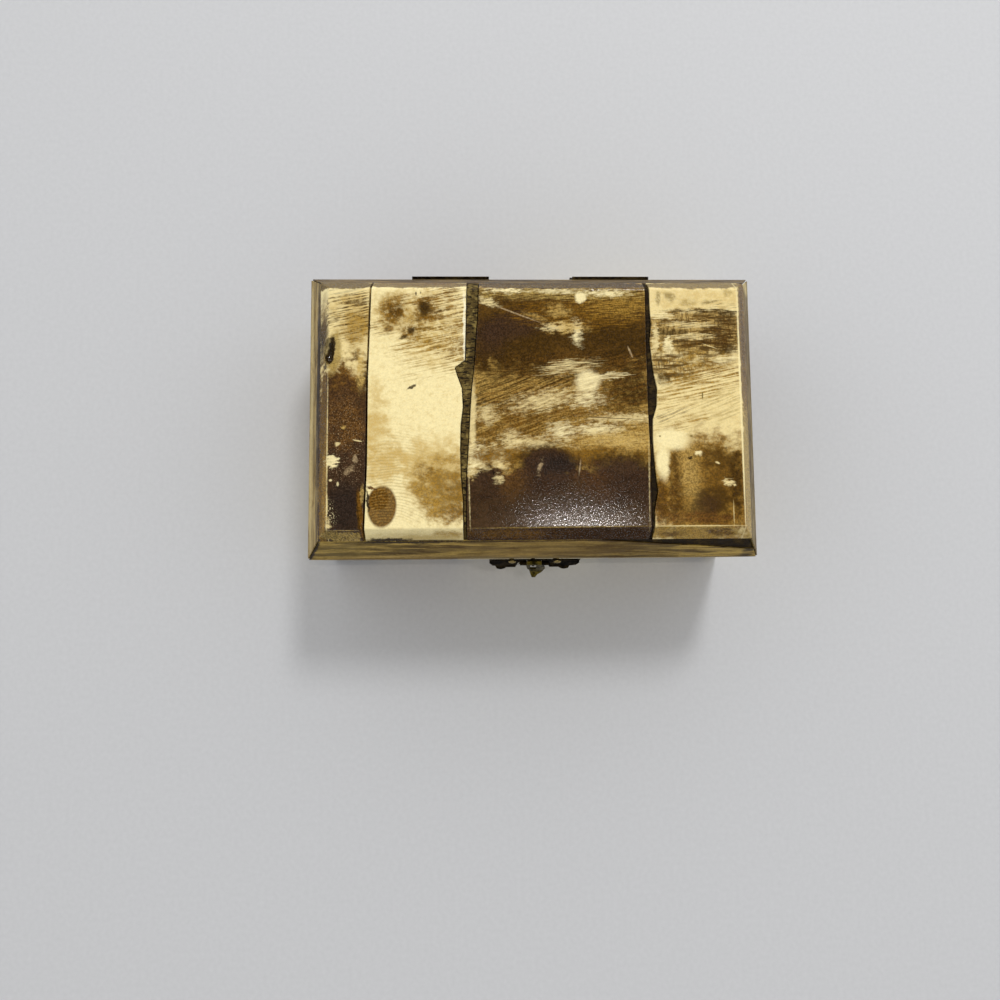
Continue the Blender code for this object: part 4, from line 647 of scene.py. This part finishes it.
def side_bone(name, ground, stain, along_x, seed, marks, worn):
    """Bone strips cut along the shaft and left brown: long fibres run the length of the piece, with smoked
    blotches, dark joint lines and fine pores, and only a dull gloss."""
    material, tree, shader, place = new_finish(name, {"IOR": BONE_IOR, "Specular IOR Level": 0.1})
    turn = 0 if along_x else 90
    fibre = drawn_out(tree, place, 9.0, 0.45, lean=turn, detail=4.0, seed=seed)
    band = drawn_out(tree, place, 14.0, 2.2, lean=turn, detail=3.0, seed=seed + 4)
    blotch = drawn_out(tree, place, 4.0, 2.6, lean=turn, detail=5.0, seed=seed + 8, roughness=0.7)
    fine = drawn_out(tree, place, 0.5, 0.25, lean=turn, detail=2.0, seed=seed + 12)
    colour = stained(tree, linear(ground), linear(stain), band, 0.42, 0.58, 0.0, 0.9)
    colour = stained(tree, colour, linear(TONES["umber"]), fibre, 0.48, 0.66, 0.0, worn)
    colour = stained(tree, colour, linear(TONES["straw"]), fibre, 0.48, 0.32, 0.0, worn)
    colour = stained(tree, colour, linear(TONES["brown"]), blotch, 0.5, 0.68, 0.0, worn)
    fuzzy = wandering(tree, place, 0.8, 0.25, seed)
    for texture, tone, x, y, half_x, half_y, lean, softness, strength in marks:
        eaten = node(tree, "ShaderNodeMapRange", (fibre, 0.3, 0.7, -0.3, 0.3), **SMOOTH).outputs[0]
        share = patch(tree, fuzzy, eaten, x, y, half_x, half_y, lean, softness, strength)
        if texture != "plain":
            broken = node(tree, "ShaderNodeMapRange", (fibre, 0.38, 0.55, 0.3, 1.0), **SMOOTH).outputs[0]
            share = node(tree, "ShaderNodeMath", (share, broken), operation="MULTIPLY").outputs[0]
        laid = {0: share, 6: colour, 7: linear(TONES[tone])}
        colour = node(tree, "ShaderNodeMix", laid, **COLOURS).outputs[2]
    colour = shaded(tree, colour, fine, 0.82, 1.08)
    dressed(tree, shader, colour, blotch, 0.36, 0.55)
    height = node(tree, "ShaderNodeMath", (fibre, fine), operation="ADD").outputs[0]
    embossed(tree, shader, height, 0.5, 0.05, eased=True)
    return material


def facing_bone(name, tones, cover, along_x, seed):
    """The sawn and sanded bone of the walls: burnt-in stain in clouds, slanted saw scores that kept the dark,
    short pores along the shaft, and cream where the sanding cut through."""
    ground, stain, deep = tones
    material, tree, shader, place = new_finish(name, {"IOR": BONE_IOR, "Specular IOR Level": 0.2})
    turn = 0 if along_x else 90
    cloud = drawn_out(tree, place, 14.0, 8.0, lean=turn, detail=5.0, seed=seed, roughness=0.55)
    deeper = drawn_out(tree, place, 10.0, 6.0, lean=turn, detail=5.0, seed=seed + 5, roughness=0.58)
    flake = drawn_out(tree, place, 1.8, 0.6, lean=turn, detail=5.0, seed=seed + 9, roughness=0.7)
    score = drawn_out(tree, place, 6.5, SAW_SCORE, lean=turn, detail=3.0, seed=seed + 13, slant=-9)
    pore = drawn_out(tree, place, PORE_LENGTH, PORE_WIDTH, lean=turn, detail=1.0, seed=seed + 17)
    fine = drawn_out(tree, place, SCRATCH, SCRATCH, lean=turn, detail=2.0, seed=seed + 21)
    colour = stained(tree, linear(ground), linear(TONES["straw"]), flake, 0.35, 0.75, 0.0, 0.4)
    chips = node(tree, "ShaderNodeMapRange", (flake, 0.2, 0.8, -0.03, 0.03), **SMOOTH).outputs[0]
    clouds = node(tree, "ShaderNodeMath", (cloud, chips), operation="ADD").outputs[0]
    colour = stained(tree, colour, linear(stain), clouds, 0.52 - cover, 0.68 - cover, 0.0, 0.9)
    scores = node(tree, "ShaderNodeMapRange", (score, 0.46, 0.6, 0.0, 1.0), **SMOOTH).outputs[0]
    kept = node(tree, "ShaderNodeMapRange", (deeper, 0.35, 0.65, 0.05, 0.6), **SMOOTH).outputs[0]
    scored = node(tree, "ShaderNodeMath", (scores, kept), operation="MULTIPLY").outputs[0]
    laid = {0: scored, 6: colour, 7: linear(TONES["amber"])}
    colour = node(tree, "ShaderNodeMix", laid, **COLOURS).outputs[2]
    burnt = node(tree, "ShaderNodeMath", (deeper, chips), operation="ADD").outputs[0]
    colour = stained(tree, colour, linear(deep), burnt, 0.56 - cover, 0.74 - cover, 0.0, 0.9)
    high = node(tree, "ShaderNodeMapRange", (flake, 0.56, 0.64, 0.0, 1.0), **SMOOTH).outputs[0]
    open_ground = node(tree, "ShaderNodeMapRange", (cloud, 0.42, 0.56, 0.0, 0.35), **SMOOTH).outputs[0]
    rubbed = node(tree, "ShaderNodeMath", (high, open_ground), operation="MULTIPLY").outputs[0]
    laid = {0: rubbed, 6: colour, 7: linear(TONES["ivory"])}
    colour = node(tree, "ShaderNodeMix", laid, **COLOURS).outputs[2]
    colour = stained(tree, colour, linear(TONES["umber"]), pore, 0.64, 0.7, 0.0, 0.6)
    colour = shaded(tree, colour, fine, 0.86, 1.06)
    dressed(tree, shader, colour, flake, 0.26, 0.42)
    height = node(tree, "ShaderNodeMath", (score, fine), operation="ADD").outputs[0]
    embossed(tree, shader, height, 0.35, 0.05, eased=True)
    return material


def dark_filler(name, ground, dusty, seed):
    """Glue and bone dust pressed into the joints: a dull brown paste, paler where it holds more dust, with
    black shrinkage cracks."""
    material, tree, shader, place = new_finish(name, {"IOR": 1.5, "Specular IOR Level": 0.06})
    paste = drawn_out(tree, place, 2.2, 2.2, detail=5.0, seed=seed, roughness=0.7)
    crack = drawn_out(tree, place, 1.6, 0.35, detail=3.0, seed=seed + 5)
    grit = drawn_out(tree, place, DUST, DUST, detail=1.0, seed=seed + 9)
    colour = stained(tree, linear(ground), linear(dusty), paste, 0.46, 0.62, 0.0, 0.9)
    colour = stained(tree, colour, linear("171009"), crack, 0.5, 0.6, 0.0, 0.95)
    colour = shaded(tree, colour, grit, 0.75, 1.15)
    dressed(tree, shader, colour, paste, 0.5, 0.8)
    cracks = node(tree, "ShaderNodeMapRange", (crack, 0.5, 0.62, 0.0, 1.0), **SMOOTH).outputs[0]
    height = node(tree, "ShaderNodeMath", (paste, cracks), operation="SUBTRACT").outputs[0]
    embossed(tree, shader, height, 0.7, 0.08)
    return material


def bare_wood(name, along_x, seed):
    """Sheesham planed and left bare inside: a brown long grain, and no gloss. Its short dark pores are drawn
    0.22 mm wide, a little more than the widest real ones, so that they show."""
    material, tree, shader, place = new_finish(name, {"IOR": 1.5})
    turn = 0 if along_x else 90
    figure = drawn_out(tree, place, 40.0, 3.5, lean=turn, detail=4.0, seed=seed)
    grain = drawn_out(tree, place, 16.0, 0.6, lean=turn, detail=4.0, seed=seed + 6)
    pore = drawn_out(tree, place, 2.2, 0.22, lean=turn, detail=2.0, seed=seed + 10)
    colour = stained(tree, linear("9A6C40"), linear("6F4525"), figure, 0.4, 0.62)
    colour = stained(tree, colour, linear("B58A58"), grain, 0.55, 0.72, 0.0, 0.6)
    colour = stained(tree, colour, linear("3F2614"), pore, 0.6, 0.7, 0.0, 0.75)
    dressed(tree, shader, colour, grain, 0.55, 0.75)
    embossed(tree, shader, grain, 0.5, 0.06)
    return material


def brass(name, ground, tarnish, cover, smoothest, roughest, seed):
    """Stamped sheet brass gone dark with handling: brown-black tarnish in blotches, with the yellow metal
    rubbed bare on the high places."""
    material, tree, shader, place = new_finish(name, {"Metallic": 1.0})
    cloud = drawn_out(tree, place, 1.4, 1.4, detail=4.0, seed=seed, roughness=0.7)
    rub = drawn_out(tree, place, 0.5, 0.5, detail=3.0, seed=seed + 6)
    colour = stained(tree, linear(ground), linear(tarnish), cloud, 0.5 - cover, 0.72 - cover)
    colour = shaded(tree, colour, rub, 0.7, 1.15)
    dressed(tree, shader, colour, cloud, smoothest, roughest)
    embossed(tree, shader, rub, 0.5, 0.04)
    return material


def finish(names, material):
    """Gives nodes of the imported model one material."""
    for name in names:
        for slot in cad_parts[name].material_slots:
            slot.material = material


def lay_floor():
    """A pale, matt studio floor with a faint paper grain."""
    mesh = bpy.data.meshes.new("floor")
    form = bmesh.new()
    bmesh.ops.create_grid(form, x_segments=2, y_segments=2, size=FLOOR_HALF_WIDTH)
    form.to_mesh(mesh)
    form.free()
    floor = bpy.data.objects.new("floor", mesh)
    bpy.context.scene.collection.objects.link(floor)
    material, tree, shader, place = new_finish("pale_studio_floor", {"Roughness": 0.8, "IOR": 1.4})
    paper = {"Vector": place, "Scale": PAPER_GRAINS_PER_METRE, "Detail": 2.0}
    grain = node(tree, "ShaderNodeTexNoise", paper).outputs["Fac"]
    tones = {0: grain, 6: linear("B9BABC"), 7: linear("C3C4C6")}
    colour = node(tree, "ShaderNodeMix", tones, **COLOURS).outputs[2]
    tree.links.new(colour, shader.inputs["Base Color"])
    mesh.materials.append(material)


def light_sky():
    """An even sky that is bright all round, dim overhead where the lid would mirror it, and a little
    brighter at the back."""
    world = bpy.data.worlds.new("even_sky")
    world.use_nodes = True
    sky = world.node_tree
    aim = node(sky, "ShaderNodeTexCoord").outputs["Generated"]
    parts = node(sky, "ShaderNodeSeparateXYZ", (aim,))
    steepness = node(sky, "ShaderNodeMath", (parts.outputs["Z"],), operation="ABSOLUTE").outputs[0]
    ring = node(sky, "ShaderNodeMapRange", (steepness, 0.55, 0.98, SKY_ROUND, SKY_OVERHEAD), **SMOOTH)
    back = node(sky, "ShaderNodeMapRange", (parts.outputs["Y"], -1.0, 1.0, SKY_FRONT, SKY_BACK), **SMOOTH)
    lit = node(sky, "ShaderNodeMath", (ring.outputs[0], back.outputs[0]), operation="MULTIPLY").outputs[0]
    background = sky.nodes["Background"]
    background.inputs["Color"].default_value = (1.0, 1.0, 1.0, 1.0)
    sky.links.new(lit, background.inputs["Strength"])
    bpy.context.scene.world = world


def hang_lamp(name, shape, width, depth, power, place, tint=(1.0, 1.0, 1.0)):
    """An area lamp that faces down: width and depth in metres, power in watts."""
    data = bpy.data.lights.new(name, "AREA")
    data.shape = shape
    data.size = width
    data.size_y = depth
    data.energy = power
    data.color = tint
    lamp = bpy.data.objects.new(name, data)
    lamp.location = place
    bpy.context.scene.collection.objects.link(lamp)
    return lamp


def hang_lamps():
    """A soft lamp high behind the box, and a narrow one overhead that draws the flat glint on plate 3."""
    soft = hang_lamp("soft_overhead", "DISK", LAMP_WIDTH, LAMP_WIDTH, LAMP_POWER, LAMP_PLACE)
    soft.rotation_euler = soft.location.to_track_quat("Z", "Y").to_euler()
    hang_lamp("small_overhead", "ELLIPSE", GLINT_WIDTH, GLINT_DEPTH, GLINT_POWER, GLINT_PLACE, GLINT_TINT)


def place_camera():
    """The camera where the photograph was taken from: almost straight above the lid."""
    data = bpy.data.cameras.new("overhead_camera")
    data.sensor_width = SENSOR_WIDTH
    data.lens = FOCAL_LENGTH
    data.clip_start = NEAREST_SEEN
    camera = bpy.data.objects.new("overhead_camera", data)
    forward = Vector(CAMERA_FORWARD).normalized()
    right = forward.cross(Vector(CAMERA_UP)).normalized()
    up = right.cross(forward)
    turn = camera.matrix_world.copy()
    for row in range(3):
        turn[row][0] = right[row]
        turn[row][1] = up[row]
        turn[row][2] = -forward[row]
        turn[row][3] = CAMERA_PLACE[row]
    camera.matrix_world = turn
    bpy.context.scene.collection.objects.link(camera)
    bpy.context.scene.camera = camera
    bpy.context.scene.view_settings.view_transform = "Standard"


def finish_lid():
    """The stained plates, the brown strips round them and the paste between them."""
    finish(["top_plate_1"], top_bone("smoked_bone_1", "ivory", PLATE_1_MARKS, 1.0))
    finish(["top_plate_2"], top_bone("smoked_bone_2", "cream", PLATE_2_MARKS, 23.0))
    finish(["top_plate_3"], top_bone("smoked_bone_3", "midtan", PLATE_3_MARKS, 41.0))
    finish(["top_plate_4"], top_bone("smoked_bone_4", "ivory", PLATE_4_MARKS, 67.0))
    for side, ground, stain, along_x, seed, marks, worn in (
        ("front", "AE9248", "5C4A1A", True, 5.0, FRONT_RIM_MARKS, 0.4),
        ("back", "6C5832", "2A1E0C", True, 15.0, BACK_RIM_MARKS, 0.55),
        ("left", "B09860", "78622E", False, 25.0, LEFT_RIM_MARKS, 0.55),
        ("right", "7C6C42", "524220", False, 35.0, RIGHT_RIM_MARKS, 0.55),
    ):
        rim = side_bone(f"rim_bone_{side}", ground, stain, along_x, seed, marks, worn)
        finish([f"rim_strip_{side}"], rim)
    finish(["joint_filler_left"], dark_filler("joint_paste_grey", "4E3F1E", "83713F", 2.0))
    black_paste = dark_filler("joint_paste_black", "241A0B", "43351A", 12.0)
    finish(["joint_filler_right", "rim_filler_front"], black_paste)


def finish_walls():
    """The bone facings in three shades, with their shaft along the wall, and the paste in their seams."""
    for name, tones, cover, along_x, seed, plates in (
        ("facing_bone_brown", BROWN_BONE, 0.14, True, 45.0, ("front_left", "back_left")),
        ("facing_bone_cream", CREAM_BONE, -0.02, True, 55.0, ("front_middle", "back_right")),
        ("facing_bone_tan", TAN_BONE, 0.06, True, 65.0, ("front_right",)),
        ("end_bone_tan", TAN_BONE, 0.06, False, 75.0, ("left_back",)),
        ("end_bone_cream", CREAM_BONE, -0.02, False, 85.0, ("left_front", "right_front")),
        ("end_bone_brown", BROWN_BONE, 0.14, False, 95.0, ("right_back",)),
    ):
        finish([f"bone_{plate}" for plate in plates], facing_bone(name, tones, cover, along_x, seed))
    seams = [f"seam_{place}" for place in ("front_left", "front_right", "back", "left", "right")]
    finish(seams, dark_filler("seam_paste", "3A2C18", "6E5F3A", 22.0))


def finish_inside():
    """The carcass and the lid's frame, with the grain along each board."""
    long_boards = ["base_board", "lid_board", "wall_front", "wall_back", "lid_rail_front", "lid_rail_back"]
    finish(long_boards, bare_wood("bare_sheesham_long", True, 3.0))
    cross_boards = ["wall_left", "wall_right", "lid_rail_left", "lid_rail_right"]
    finish(cross_boards, bare_wood("bare_sheesham_cross", False, 13.0))


def finish_metal():
    """Dark plates and leaves, a tongue rubbed by the thumb, and the brighter nails and pins."""
    sides = ("left", "right")
    halves = ("lid", "body")
    leaves = [f"hinge_{side}_{half}_leaf" for side in sides for half in halves]
    plates = ["hasp_lid_plate", "hasp_body_plate", "hasp_staple"] + leaves
    finish(plates, brass("tarnished_brass", "261D0B", "0D0906", 0.12, 0.45, 0.7, 4.0))
    finish(["hasp_tongue"], brass("rubbed_brass", "5A4E1E", "1E1A08", 0.08, 0.35, 0.55, 14.0))
    pins = ["hasp_pin"] + [f"hinge_{side}_pin" for side in sides]
    nails = [f"hasp_{half}_nail_{side}" for half in halves for side in sides]
    nails += [f"hinge_{side}_{half}_nail_{end}" for side in sides for half in halves for end in "ab"]
    finish(pins + nails, brass("bare_brass_nails", "8C7A4C", "3A2E16", -0.04, 0.3, 0.5, 24.0))


finish_lid()
finish_walls()
finish_inside()
finish_metal()
lay_floor()
light_sky()
hang_lamps()
place_camera()
